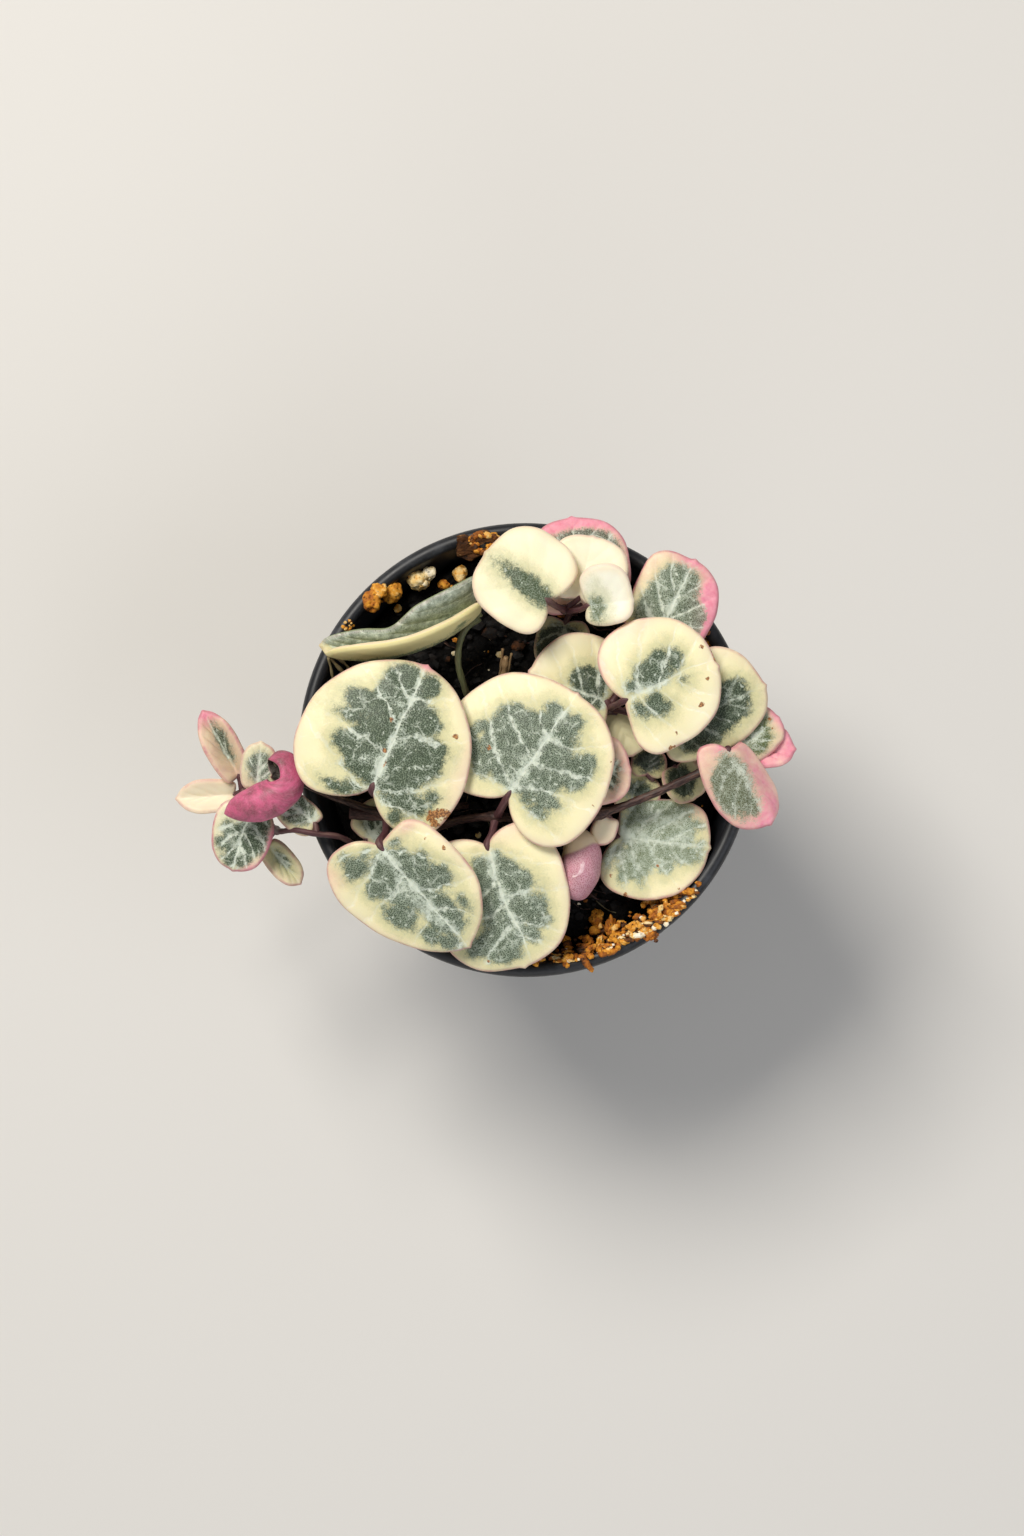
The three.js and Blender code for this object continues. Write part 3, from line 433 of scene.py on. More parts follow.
def blade(spec, finish, cad_node, slot, seed):
    """The fine blade: a lens section spun round, then laid out over the leaf's outline."""
    rng = random.Random(seed)
    half_steps, top, under = next(row[1:] for row in FINENESS if spec["L"] > row[0])
    rims = len(EDGE_STEPS)
    section = [(j, 1) for j in range(top + rims + 1)] + [(top + rims + 1, 0)]
    section += [(j + 0.5, -1) for j in range(under + rims, -1, -1)]
    section[-1] = (0, -1)
    count = 2 * half_steps
    bm = turned(section, count)
    co = np.array([v.co for v in bm.verts])
    ring, level = np.hypot(co[:, 0], co[:, 1]), np.rint(co[:, 2])
    turn = np.rint(np.arctan2(co[:, 1], co[:, 0]) / (2 * math.pi) * count).astype(int) % count

    # The outline, right half then left half back again, slightly uneven, with a fine tip.
    rx, ry = half_outline(spec, spec["right"], half_steps)
    lx, ly = half_outline(spec, spec["left"], half_steps)
    ox, oy = np.concatenate([rx, -lx[-2:0:-1]]), np.concatenate([ry, ly[-2:0:-1]])
    bearing = np.linspace(0, 2 * math.pi, count, endpoint=False)
    uneven = 1 + 0.006 * np.sin(5 * bearing + seed) + 0.004 * np.sin(11 * bearing + 2 * seed)
    point = np.exp(-(ox / 0.35) ** 2) * (oy > 0.6 * spec["L"]) * min(0.25, 0.021 * spec["L"])
    cy = 0.42 * spec["L"]
    ox, oy = ox * uneven, cy + (oy - cy) * uneven + point

    # How far out each vertex lies: even rings on the flat part, then those of the edge.
    reach = np.hypot(ox, oy - cy)
    round_off = min(0.55, 0.45 * spec["thick"])
    inner = np.where(level > 0, top, under)
    step = np.where(level > 0, ring, ring - 0.5)
    step = np.where(level == 0, inner + rims + 1, np.maximum(step, 0))
    far = np.concatenate([[1.0], EDGE_STEPS, [0.0]])
    outer = np.interp(np.maximum(step - inner, 0), np.arange(rims + 2), far)
    flat_part = reach[turn] - round_off
    dist = np.where(step <= inner, step / inner * flat_part, reach[turn] - round_off * outer)
    dist = np.where(ring < 1e-6, 0, dist)
    x = dist * ox[turn] / reach[turn]
    y = cy + dist * (oy[turn] - cy) / reach[turn]
    rho, margin = dist / reach[turn], reach[turn] - dist

    # The lens's thickness, and its rounded edge.
    lens = 0.6 * np.sqrt(np.maximum(0, 1 - rho ** 4)) + 0.4
    edge = np.sqrt(np.maximum(0, 1 - (1 - np.clip(margin / round_off, 0, 1)) ** 2))
    depth = level * lens * edge * spec["thick"] / 2

    # Relief: furrows over the midrib and the side veins, pillows between them, a keel below.
    bend = np.interp(y, [p[0] for p in spec["rib"]], [p[1] for p in spec["rib"]])
    phase, gap = veins(spec, x, y, rng)
    side_vein = np.abs(phase - np.rint(phase)) * gap
    fade = np.clip(margin / 1.2, 0, 1)
    taper = np.clip(1.05 - 0.75 * y / spec["L"], 0.2, 1)
    furrow = 0.13 * taper * np.exp(-((x - bend) / 0.42) ** 2) + 0.06 * np.exp(-(side_vein / 0.4) ** 2)
    between = np.clip(side_vein / np.maximum(gap, 0.5), 0, 0.5)
    pillow = 0.09 * np.sin(between * math.pi) * np.clip(gap / 2.5, 0, 1)
    soft = np.array([noise.noise((a * 0.33 + seed, b * 0.33, seed * 1.3)) for a, b in zip(x, y)])
    above = (pillow - furrow) * fade * spec["relief"] + 0.12 * soft * fade
    keel = -0.22 * taper * np.exp(-(x / 0.5) ** 2) * fade
    relief = np.where(level > 0, above, keel - 0.05 * np.exp(-(side_vein / 0.4) ** 2) * fade)
    at = middle(spec, x, y) + up_normal(spec, x, y) * (depth + relief * (np.abs(level) > 0))[:, None]
    for v, place in zip(bm.verts, at):
        v.co = place

    # What the leaf's finish reads: millimetres inside the green, and the other marks.
    patch = inside(spec["patch"], x, y, 0.8) if spec["patch"] else np.full(len(x), -6.0)
    isles = patch
    if spec["isles"]:
        isles = inside(spec["isles"], x, y, 0.3)
        patch = np.maximum(isles, patch - 1.0)
    blush = spec["pink"] + spots(spec["blush"], x, y)
    marks = {
        "flat": (x, y, seed * 7.3),
        "vein": (phase, gap, y / spec["L"]),
        "zone": (patch, margin, blush),
        "skin": ((1 - level) / 2, spots(spec["stain"], x, y), spec["pale"]),
        # The third value is painted shade: how far the leaf's colours are darkened for lying in shade.
        "olive_silver_shade": (spec["olive"], spec["silver"], spec["deep"]),
        "rib": (x - bend, isles, spec["rim"]),
        "wax": (spec["ribs"], 0, 0),
    }
    return mesh_piece(spec["name"], bm, finish, cad_node, slot, marks)


ROLL_HALF = math.radians(122)  # how far the roll reaches round to each side
ROLL_INNER = 0.70              # inside of the roll, as a share of its outside


def roll_section():
    """A C, open below: the outside, a rounded margin, the inside, and the other margin."""
    turns = np.linspace(-ROLL_HALF, ROLL_HALF, 37)
    middle_line, half_thick = (1 + ROLL_INNER) / 2, (1 - ROLL_INNER) / 2
    section = [(math.sin(a), -math.cos(a)) for a in turns]
    for end, sign, order in ((ROLL_HALF, 1, (1, 2, 3)), (-ROLL_HALF, -1, (3, 2, 1))):
        if sign < 0:
            section += [(ROLL_INNER * math.sin(a), -ROLL_INNER * math.cos(a)) for a in turns[::-1]]
        for k in order:
            out = middle_line + half_thick * math.cos(k * math.pi / 4)
            over = sign * half_thick * math.sin(k * math.pi / 4) / middle_line
            section.append((out * math.sin(end + over), -out * math.cos(end + over)))
    return section


def rolled_blade(spec, finish, cad_node, slot, seed):
    """A leaf rolled up on itself, its pink underside out: a roll along its `route`, open
    below, with the half-width (mm) at each point of the route."""
    bm = bmesh.new()
    length = way_length(spec["route"])
    profile, _ = through([(3 * i, width, 0) for i, width in enumerate(spec["plump"])], 60)
    points, widths = [q.x / profile[-1].x for q in profile], [q.y for q in profile]

    def radius(run):
        share = min(1.0, run / length)
        end = min(run, max(0.0, length - run)) / 1.6
        closing = math.sqrt(1 - (1 - min(1, end)) ** 2)
        return max(0.05, float(np.interp(share, points, widths)) * closing)

    tube(bm, spec["route"], radius, 0.16, 0, 0, seed, roll_section(), spec["twist"])
    streak, hue = vertex_layer(bm, "streak"), vertex_layer(bm, "hue")
    across = np.array([v[streak] for v in bm.verts])
    run = np.array([v[hue].y for v in bm.verts])
    out = np.hypot(across[:, 0], across[:, 1])
    wide = np.array([radius(r) for r in run])
    turn = np.arctan2(across[:, 0], -across[:, 1])
    girth = turn * out
    lower = np.clip((out / wide - (1 + ROLL_INNER) / 2) / 0.1, 0, 1)
    scratch = np.full(len(run), 5.0)
    for cx, cy, size, start, sweep in spec["crease"]:
        angle = (np.degrees(np.arctan2(run - cy, girth - cx)) - start) % 360
        scratch = np.where(angle < sweep, np.hypot(girth - cx, run - cy) - size, scratch)
    flush = spec["pink"] + spots(spec["blush"], girth, run)
    if spec["cuff"]:
        place, tilt, bulge = spec["cuff"]
        flush = flush + np.clip((run - place - tilt * girth - bulge * girth ** 2) / 0.3, 0, 1)
    own_patch = inside(spec["patch"] or [(9, -9, 1, 1)], girth, run, 0.8)
    bm.normal_update()
    for v, line in zip(bm.verts, scratch):
        spot = v.co * 0.45 + Vector((seed, 0, 0))
        v.co -= v.normal * (0.1 * math.exp(-(line / 0.2) ** 2))
        v.co += Vector((noise.noise(spot), noise.noise(spot * 1.1 + Vector((5, 0, 0))), 0)) * 0.22
    marks = {
        "flat": (girth, run, seed * 7.3),
        "vein": (0.5, 4, 0.3),
        "zone": (np.where(lower < 0.5, 3, own_patch), (ROLL_HALF - np.abs(turn)) * wide, flush),
        "skin": (lower, 0, spec["pale"]),
        # The inside of the roll gets painted shade: its colours darkened as in the roll's own shadow.
        "olive_silver_shade": (0, spec["silver"], 0.9 * (1 - lower)),
        "rib": (scratch, -5, 0),
        "wax": (1, 0, 0),
    }
    return mesh_piece(spec["name"], bm, finish, cad_node, slot, marks)


# ---- materials ----
# Settings of the nodes that sum, mix colours and step softly.
PLUS, MINUS, TIMES, TIMES_PLUS, LARGER, SIZE, FRACTION = (
    {"operation": name}
    for name in ("ADD", "SUBTRACT", "MULTIPLY", "MULTIPLY_ADD", "MAXIMUM", "ABSOLUTE", "FRACT"))
COLOUR = {"data_type": "RGBA"}
SOFT = {"interpolation_type": "SMOOTHSTEP"}


def layered(add, colour, coats):
    """Lays coats over a colour in turn. Each is its share and its colour, or the nodes for it."""
    for share, coat in coats:
        coat = ink(coat) if isinstance(coat, str) else coat
        colour = add("Mix", [share, colour, coat], **COLOUR)
    return colour


def leaf_finish():
    """Living leaf of Ceropegia woodii: a thick, water-filled blade under a thin waxy skin.
    Light sinks in a little and the gloss is soft. The green cells lie in islands between the
    veins, silvered where the skin lifts along the veins and speckled by the cells; outside
    them the blade is butter yellow to cream, with a pink line along the very edge."""
    made, add = material("waxy_variegated_leaf", {
        "IOR": 1.45, "Subsurface Weight": 0.10, "Subsurface Radius": (1.0, 0.7, 0.35),
        "Subsurface Scale": 0.0006, "Specular IOR Level": 0.35})
    flat, vein, zone, skin, olive_silver_shade, rib, wax = (
        add("Attribute", attribute_name=name).outputs["Vector"]
        for name in ("flat", "vein", "zone", "skin", "olive_silver_shade", "rib", "wax"))
    phase, gap, along = add("SeparateXYZ", [vein]).outputs
    patch, margin, blush = add("SeparateXYZ", [zone]).outputs
    lower, stain, pale = add("SeparateXYZ", [skin]).outputs
    # The third value is painted shade, which darkens a leaf that lies in shade.
    olive, silver, deep = add("SeparateXYZ", [olive_silver_shade]).outputs
    off_rib, isles, rim_pink = add("SeparateXYZ", [rib]).outputs
    strength = add("SeparateXYZ", [wax]).outputs[0]

    # Wander of the veins, in swings of about 3 mm.
    drift = add("TexNoise", {"Vector": flat, "Scale": 0.42, "Detail": 2.0, "Roughness": 0.6})
    wander = add("VectorMath", [drift.outputs["Color"], (0.5, 0.5, 0.5)], **MINUS)
    bent = add("VectorMath", {0: wander, 1: (2.6, 2.6, 0.0), 2: flat}, **TIMES_PLUS)
    sway = add("SeparateXYZ", [wander]).outputs

    # Cell grain: the real cells are too fine to show, so they are drawn 0.19 mm wide, dark
    # with pale walls.
    grain = add("TexNoise", {"Vector": flat, "Scale": 5.5, "Detail": 1.0, "Roughness": 0.5})
    cells = add("TexVoronoi", {"Vector": flat, "Scale": 5.3}, voronoi_dimensions="2D")
    # Clumps about 2 mm across, and breaks of about 0.6 mm.
    clump = add("TexNoise", {"Vector": flat, "Scale": 0.55, "Detail": 3.0, "Roughness": 0.6})
    breakup = add("TexNoise", {"Vector": flat, "Scale": 1.6, "Detail": 3.0, "Roughness": 0.6})

    # Midrib, side veins and the net between them, each as a distance in millimetres.
    mid = add("Math", [add("Math", [sway[0], 0.7, off_rib], **TIMES_PLUS)], **SIZE)
    mid = add("Math", [mid, add("MapRange", [along, 0.0, 1.0, 0.8, 2.2])], **TIMES)
    ladder = add("Math", [add("Math", [sway[1], 0.6, phase], **TIMES_PLUS), 0.5], **PLUS)
    rung = add("Math", [add("Math", [ladder], **FRACTION), 0.5], **MINUS)
    side = add("Math", [add("Math", [rung], **SIZE), gap], **TIMES)
    swell = add("MapRange", [clump, 0.46, 0.66, 0.0, 0.2])
    mid, side = (add("Math", [add("Math", [away, swell], **MINUS), 0.0], **LARGER)
                 for away in (mid, side))
    net = add("TexVoronoi", {"Vector": bent, "Scale": 0.38}, feature="DISTANCE_TO_EDGE")
    net = add("Math", [net.outputs["Distance"], 2.6], **TIMES)

    # The pale line of each: how it fades outwards, and what breaks it up along its way.
    core, ribs, twigs = (
        add("Math", [add("MapRange", [away, *fade], **SOFT), add("MapRange", [by, *breaks])], **TIMES)
        for away, fade, by, breaks in (
            (mid, (0.26, 0.08, 0.0, 0.95), breakup, (0.3, 0.6, 0.4, 1.0)),
            (side, (0.20, 0.05, 0.0, 0.85), breakup, (0.36, 0.6, 0.1, 1.0)),
            (net, (0.13, 0.02, 0.0, 0.55), clump, (0.48, 0.64, 0.0, 1.0))))
    lines = add("Math", [add("Math", [core, ribs], **LARGER), twigs], **LARGER)
    lines = add("Math", [lines, strength], **TIMES)

    # Silvering: strong beside the midrib, weaker along the side veins and between islands.
    haze = add("MapRange", [mid, 1.2, 0.1, 0.0, 0.85], **SOFT)
    for away, *fade in ((side, 0.6, 0.05, 0.0, 0.5), (net, 0.4, 0.03, 0.0, 0.25)):
        haze = add("Math", [haze, add("MapRange", [away, *fade], **SOFT)], **LARGER)
    for by, *share in ((clump, 0.36, 0.62, 0.3, 1.1), (strength, 0.0, 0.6, 0.1, 1.0)):
        haze = add("Math", [haze, add("MapRange", [by, *share])], **TIMES)
    dark = add("Math", [add("Math", [clump, 1.5, -0.45], **TIMES_PLUS), isles], **PLUS)
    dark = add("MapRange", [dark, -0.4, 0.5, 0.0, 1.0], **SOFT)
    haze = add("Math", [haze, add("MapRange", [dark, 0.0, 1.0, 0.55, 0.0])], **LARGER)

    # Speckle: the pale walls of the cells, wider where the skin is silvered.
    lift = add("Math", [haze, 0.24, add("Math", [silver, 0.10, -0.01], **TIMES_PLUS)], **TIMES_PLUS)
    wall = add("Math", [grain, 0.5, -0.25], **TIMES_PLUS)
    wall = add("Math", [wall, cells.outputs["Distance"]], **PLUS)
    speck = add("MapRange", [add("Math", [wall, lift], **PLUS), 0.40, 0.58, 0.0, 1.0], **SOFT)

    # The green: its edge follows the islands and feathers out over 0.7 mm.
    edge = patch
    for by, swing in ((clump, 1.6), (breakup, 1.0), (grain, 0.8)):
        edge = add("Math", [edge, add("Math", [by, swing, -swing / 2], **TIMES_PLUS)], **PLUS)
    green = add("MapRange", [edge, -0.35, 0.5, 0.0, 1.0], **SOFT)
    ghost = add("MapRange", [edge, -1.7, -0.1, 0.0, 0.5], **SOFT)
    body = add("Mix", [clump, ink("#243021"), ink("#52604b")], **COLOUR)
    # The olive tint is the leaf's own; the pull towards near black is painted shade.
    body = layered(add, body, ((olive, "#56632f"), (deep, "#141b13")))
    fleck = add("Math", [silver, 0.25, haze], **TIMES_PLUS)
    fleck = add("Mix", [fleck, ink("#728069"), ink("#bfcab9")], **COLOUR)
    # Painted shade dulls the pale flecks too.
    fleck = add("Mix", [add("Math", [deep, 0.6], **TIMES), fleck, ink("#4a5440")], **COLOUR)
    speckle = add("Math", [speck, add("MapRange", [breakup, 0.36, 0.62, 0.45, 0.9])], **TIMES)
    frost = add("Math", [add("Math", [grain, 1.1, -0.55], **TIMES_PLUS),
                         add("Math", [breakup, 0.8, -0.4], **TIMES_PLUS)], **PLUS)
    frost = add("MapRange", [add("Math", [haze, frost], **PLUS), 0.26, 0.82, 0.0, 0.8], **SOFT)
    dust = add("TexVoronoi", {"Vector": bent, "Scale": 0.85}, voronoi_dimensions="2D")
    dots = add("MapRange", [dust.outputs["Distance"], 0.17, 0.07, 0.0, 0.75], **SOFT)
    dots = add("Math", [dots, add("MapRange", [breakup, 0.45, 0.6, 0.0, 1.0])], **TIMES)
    # Painted shade fades the speckle, frost, dots and vein lines.
    shown = add("MapRange", [deep, 0.0, 1.0, 1.0, 0.15])
    pale_marks = ((speckle, fleck), (frost, "#c2ccbc"), (dots, "#d6decf"), (lines, "#d6decf"))
    body = layered(add, body, [
        (add("Math", [mark, shown], **TIMES), coat) for mark, coat in pale_marks])

    # The cream: deeper yellow beside the green, paler towards the edge.
    shore = add("MapRange", [edge, -4.5, -0.5, 0.0, 1.0], **SOFT)
    butter = add("Mix", [shore, ink("#f7eec4"), ink("#ecdf9c")], **COLOUR)
    colour = layered(add, butter, (
        (add("Math", [breakup, 0.5], **TIMES), "#f7f0c4"),
        (pale, "#faf8e6"),
        (add("Math", [lines, 0.6], **TIMES), "#fcfbea"),
        (add("MapRange", [margin, 1.5, 0.2, 0.0, 0.5], **SOFT), "#f4e0be"),
        (ghost, "#b3b688"),
        # Painted shade: the cream darkened towards olive on a leaf in shade.
        (add("Math", [deep, 0.45], **TIMES), "#7f7a4c"),
        (green, body)))

    # Pink: blushed areas, and a line along the edge that comes and goes.
    flush = blush
    for by, *share in ((clump, 0.3, 0.7, 0.7, 1.25), (green, 0.0, 1.0, 1.0, 0.07)):
        flush = add("Math", [flush, add("MapRange", [by, *share])], **TIMES)
    flush = add("Clamp", [flush, 0.0, 1.0])
    rosy = add("Mix", [breakup, ink("#e2708f"), ink("#f6b9c4")], **COLOUR)
    line = add("MapRange", [margin, 0.40, 0.06, 0.0, 1.0], **SOFT)
    for by in (rim_pink, add("MapRange", [clump, 0.35, 0.6, 0.25, 1.1])):
        line = add("Math", [line, by], **TIMES)

    # The underside: flushed pink over a grey green that shows through.
    below = add("Mix", [pale, ink("#efe3a6"), ink("#f3d9c2")], **COLOUR)
    below = add("Mix", [green, below, ink("#8a9570")], **COLOUR)
    purple = add("MapRange", [clump, 0.25, 0.7, 0.0, 1.0], **SOFT)
    purple = add("Mix", [purple, ink("#701a3e"), ink("#d04c84")], **COLOUR)
    purple = layered(add, purple, (
        # Pale pink mottles scattered by noise: a painted highlight for the underside's gloss.
        (add("MapRange", [breakup, 0.55, 0.8, 0.0, 0.3], **SOFT), "#e39bb4"),
        (pale, "#b27c84"),
        (add("Math", [green, 0.85], **TIMES), "#8f8a78")))
    blushed = add("Clamp", [blush, 0.0, 1.0])
    dusting = add("Math", [blushed, add("MapRange", [pale, 0.0, 0.8, 0.06, 0.42])], **TIMES)
    below = layered(add, below, (
        (blushed, purple),
        (add("Math", [speck, dusting], **TIMES), "#ecc8d0"),
        (add("Math", [core, 0.75], **TIMES), "#f2dcdf")))

    # Brown, dried spots.
    scar = add("Math", [stain, add("MapRange", [breakup, 0.35, 0.6, 0.3, 1.4])], **TIMES)
    scar = add("MapRange", [scar, 0.35, 0.62, 0.0, 0.92], **SOFT)
    dried = add("MapRange", [grain, 0.38, 0.62, 0.0, 1.0], **SOFT)
    dried = add("Mix", [dried, ink("#6a3413"), ink("#bd8248")], **COLOUR)

    colour = layered(add, colour, ((flush, rosy), (line, "#cc8790"), (lower, below), (scar, dried)))
    height = add("Math", [lines, -0.7, add("Math", [grain, 0.3], **TIMES)], **TIMES_PLUS)
    return finished(made, Base_Color=colour,
                    Roughness=add("MapRange", [breakup, 0.3, 0.7, 0.40, 0.52]),
                    Normal=add("Bump", {"Strength": 0.35, "Distance": 0.00006, "Height": height}))


def stalk_finish():
    """Fleshy green stem under a brown-purple skin, grown and lightly ridged along its length:
    satin, streaked, pinker on the young petioles and grey-green on the old shaded stem."""
    made, add = material("fleshy_stem", {
        "IOR": 1.45, "Subsurface Weight": 0.08, "Subsurface Radius": (1.0, 0.4, 0.3),
        "Subsurface Scale": 0.0006, "Specular IOR Level": 0.4})
    streak, hue = (add("Attribute", attribute_name=name).outputs["Vector"]
                   for name in ("streak", "hue"))
    tint = add("SeparateXYZ", [hue]).outputs[0]
    fine = add("TexNoise", {"Vector": streak, "Scale": 5.0, "Detail": 3.0, "Roughness": 0.65})
    broad = add("TexNoise", {"Vector": streak, "Scale": 1.4, "Detail": 2.0})
    colour = add("ValToRGB", [fine], stops=((0.34, "#1d120c"), (0.52, "#44302a"), (0.72, "#7a5f50")))
    # The tint runs from that brown-purple (0) over rose (1) and moss (2) to straw (3).
    for start, dark, light in ((0.0, "#2a1419", "#7a5056"), (1.0, "#35371f", "#93976d"),
                               (2.0, "#4d331f", "#d3b083")):
        share = add("MapRange", [tint, start, start + 1.0, 0.0, 1.0])
        skin = add("Mix", [fine, ink(dark), ink(light)], **COLOUR)
        colour = add("Mix", [share, colour, skin], **COLOUR)
    dusty = add("MapRange", [broad, 0.55, 0.75, 0.0, 0.35])
    colour = add("Mix", [dusty, colour, ink("#96806f")], **COLOUR)
    return finished(made, Base_Color=colour,
                    Roughness=add("MapRange", [fine, 0.3, 0.7, 0.42, 0.6]),
                    Normal=add("Bump", {"Strength": 0.5, "Distance": 0.00012, "Height": fine}))


def pot_finish():
    """Thin polypropylene nursery pot, injection moulded and coloured black: satin, with the
    mould's faint grain, finger scuffs and a dust of dried water in patches."""
    made, add = material("black_polypropylene", {"IOR": 1.49, "Specular IOR Level": 0.5})
    place = add("TexCoord").outputs["Object"]
    grain = add("TexNoise", {"Vector": place, "Scale": 5200.0, "Detail": 2.0})
    dust = add("TexNoise", {"Vector": place, "Scale": 190.0, "Detail": 6.0, "Roughness": 0.65})
    film = add("MapRange", [dust, 0.52, 0.74, 0.0, 0.4], **SOFT)
    return finished(made, Base_Color=add("Mix", [film, ink("#1a1c21"), ink("#565a62")], **COLOUR),
                    Roughness=add("MapRange", [dust, 0.3, 0.75, 0.36, 0.56]),
                    Normal=add("Bump", {"Strength": 0.12, "Distance": 0.00003, "Height": grain}))


def soil_finish():
    """Moist peat and fine composted bark: nearly black, crumbly and matt, with a few wet
    glints and brown fibres between the crumbs."""
    made, add = material("moist_peat", {"IOR": 1.4, "Specular IOR Level": 0.3})
    place = add("TexCoord").outputs["Object"]
    crumb = add("TexNoise", {"Vector": place, "Scale": 900.0, "Detail": 6.0, "Roughness": 0.7})
    cell = add("TexVoronoi", {"Vector": place, "Scale": 1300.0})
    rough = add("Math", [crumb, cell.outputs["Distance"]], **PLUS)
    stops = ((0.40, "#030202"), (0.62, "#0e0b08"), (0.82, "#3a2a1c"))
    return finished(made, Base_Color=add("ValToRGB", [crumb], stops),
                    Roughness=add("MapRange", [crumb, 0.3, 0.7, 0.6, 0.95]),
                    Normal=add("Bump", {"Strength": 0.9, "Distance": 0.0005, "Height": rough}))


def grain_finish():
    """Crumbs and stones of the mix: peat, bark, pumice and dried mineral crust. Each grain
    carries its own place on the scale from black peat over brown and amber to white; the
    stones are porous, with dark pits 0.2 to 0.4 mm wide."""
    made, add = material("mineral_and_bark_grains", {"IOR": 1.5, "Specular IOR Level": 0.35})
    place = add("TexCoord").outputs["Object"]
    mark = add("Attribute", attribute_name="tone").outputs["Vector"]
    tone, pitted, _ = add("SeparateXYZ", [mark]).outputs
    mottle = add("TexNoise", {"Vector": place, "Scale": 1100.0, "Detail": 4.0, "Roughness": 0.65})
    level = add("Math", [tone, add("MapRange", [mottle, 0.3, 0.7, -0.13, 0.13])], **PLUS)
    stops = ((0.0, "#070504"), (0.16, "#1d130c"), (0.32, "#5a351a"), (0.48, "#b0661b"),
             (0.62, "#e6a133"), (0.76, "#f4d592"), (0.9, "#fdeec8"), (1.0, "#fff6e2"))
    pits = add("TexVoronoi", {"Vector": place, "Scale": 1700.0})
    hole = add("MapRange", [pits.outputs["Distance"], 0.30, 0.16, 0.0, 1.0], **SOFT)
    hole = add("Math", [hole, pitted], **TIMES)
    height = add("Math", [mottle, hole], **MINUS)
    colour = add("Mix", [hole, add("ValToRGB", [level], stops), ink("#3a2414")], **COLOUR)
    return finished(made, Base_Color=colour,
                    Roughness=add("MapRange", [mottle, 0.3, 0.7, 0.55, 0.9]),
                    Normal=add("Bump", {"Strength": 0.8, "Distance": 0.00018, "Height": height}))


def bark_finish():
    """A chip of composted pine bark, torn along its layers: brown, matt and fibrous, with
    pale broken edges."""
    made, add = material("pine_bark_chip", {"IOR": 1.5, "Specular IOR Level": 0.25})
    place = add("TexCoord").outputs["Object"]
    laid = add("Mapping", {"Vector": place, "Rotation": (0.4, 0.0, 0.2), "Scale": (1.0, 3.2, 6.0)})
    layers = add("TexNoise", {"Vector": laid, "Scale": 420.0, "Detail": 5.0, "Roughness": 0.7})
    stops = ((0.34, "#1a0d07"), (0.55, "#5f3a1d"), (0.80, "#d9ab74"))
    return finished(made, Base_Color=add("ValToRGB", [layers], stops),
                    Roughness=add("MapRange", [layers, 0.3, 0.7, 0.7, 0.95]),
                    Normal=add("Bump", {"Strength": 0.9, "Distance": 0.0003, "Height": layers}))


def floor_finish():
    """Painted board: a plain pale matt surface."""
    made, add = material("pale_painted_board", {"Roughness": 0.8, "Specular IOR Level": 0.2})
    place = add("TexCoord").outputs["Object"]
    wash = add("TexNoise", {"Vector": place, "Scale": 3.0, "Detail": 2.0})
    return finished(made, Base_Color=add("Mix", [wash, ink("#d9d7d3"), ink("#e0deda")], **COLOUR))


LEAF = leaf_finish()
STALK = stalk_finish()
POT = pot_finish()
SOIL = soil_finish()
GRAIN = grain_finish()
BARK = bark_finish()


# ---- pot ----
BODY_TOP = RIM_RADIUS - 2.1  # outer radius of the pot's body under the band


def pot_piece():
    """The pot, spun from its section: foot ring and recess, wall, band, rolled lip, inside."""
    r, h, foot = RIM_RADIUS, POT_HEIGHT, FOOT_RADIUS
    bottom = [(0, 0), (10, 0), (10.6, 0.25), (11, 1), (15.5, 1), (16, 0.25), (16.5, 0), (foot - 0.6, 0),
              (foot - 0.18, 0.18), (foot, 0.6)]
    band = [(BODY_TOP - 0.05, BAND_FOOT - 0.3), (BODY_TOP + 0.05, BAND_FOOT), (r - 1.0, BAND_FOOT),
            (r - 0.75, BAND_FOOT + 0.12), (r - 0.6, BAND_FOOT + 0.45)]
    lip = [(r - 0.15, h - 2.4), (r - 0.02, h - 1.5), (r, h - 1.05), (r - 0.1, h - 0.6),
           (r - 0.35, h - 0.24), (r - 0.7, h - 0.04), (r - 1.0, h), (r - 1.3, h - 0.05),
           (r - 1.62, h - 0.26), (r - 1.82, h - 0.62), (r - 1.9, h - 1.1), (r - 2.3, h - 2.6)]
    inside_wall = [(BODY_TOP - WALL, BAND_FOOT), (foot - 0.2, 3.4), (foot - 0.5, 2.7),
                   (foot - 1.2, FLOOR_TOP), (0, FLOOR_TOP)]
    piece = mesh_piece("nursery_pot", turned(bottom + band + lip + inside_wall, 160), POT,
                       "pot", "pot_black")
    drill = bmesh.new()
    for degrees in (45, 135, 225, 315):
        spot = Vector(around(degrees, DRAIN_CIRCLE, 1.5)) * MM
        bmesh.ops.create_cone(drill, cap_ends=True, segments=40, radius1=DRAIN_RADIUS * MM,
                              radius2=DRAIN_RADIUS * MM, depth=6 * MM, matrix=Matrix.Translation(spot))
    cutter = as_object("drain_drill", drill)
    bore = piece.modifiers.new("drains", "BOOLEAN")
    bore.operation = "DIFFERENCE"
    bore.solver = "EXACT"
    bore.object = cutter
    bpy.context.view_layer.update()
    drilled = piece.evaluated_get(bpy.context.evaluated_depsgraph_get())
    piece.data = bpy.data.meshes.new_from_object(drilled)
    piece.modifiers.clear()
    bpy.data.objects.remove(cutter)
    keep = piece.modifiers.new("crisp_edges", "EDGE_SPLIT")
    keep.split_angle = math.radians(48)


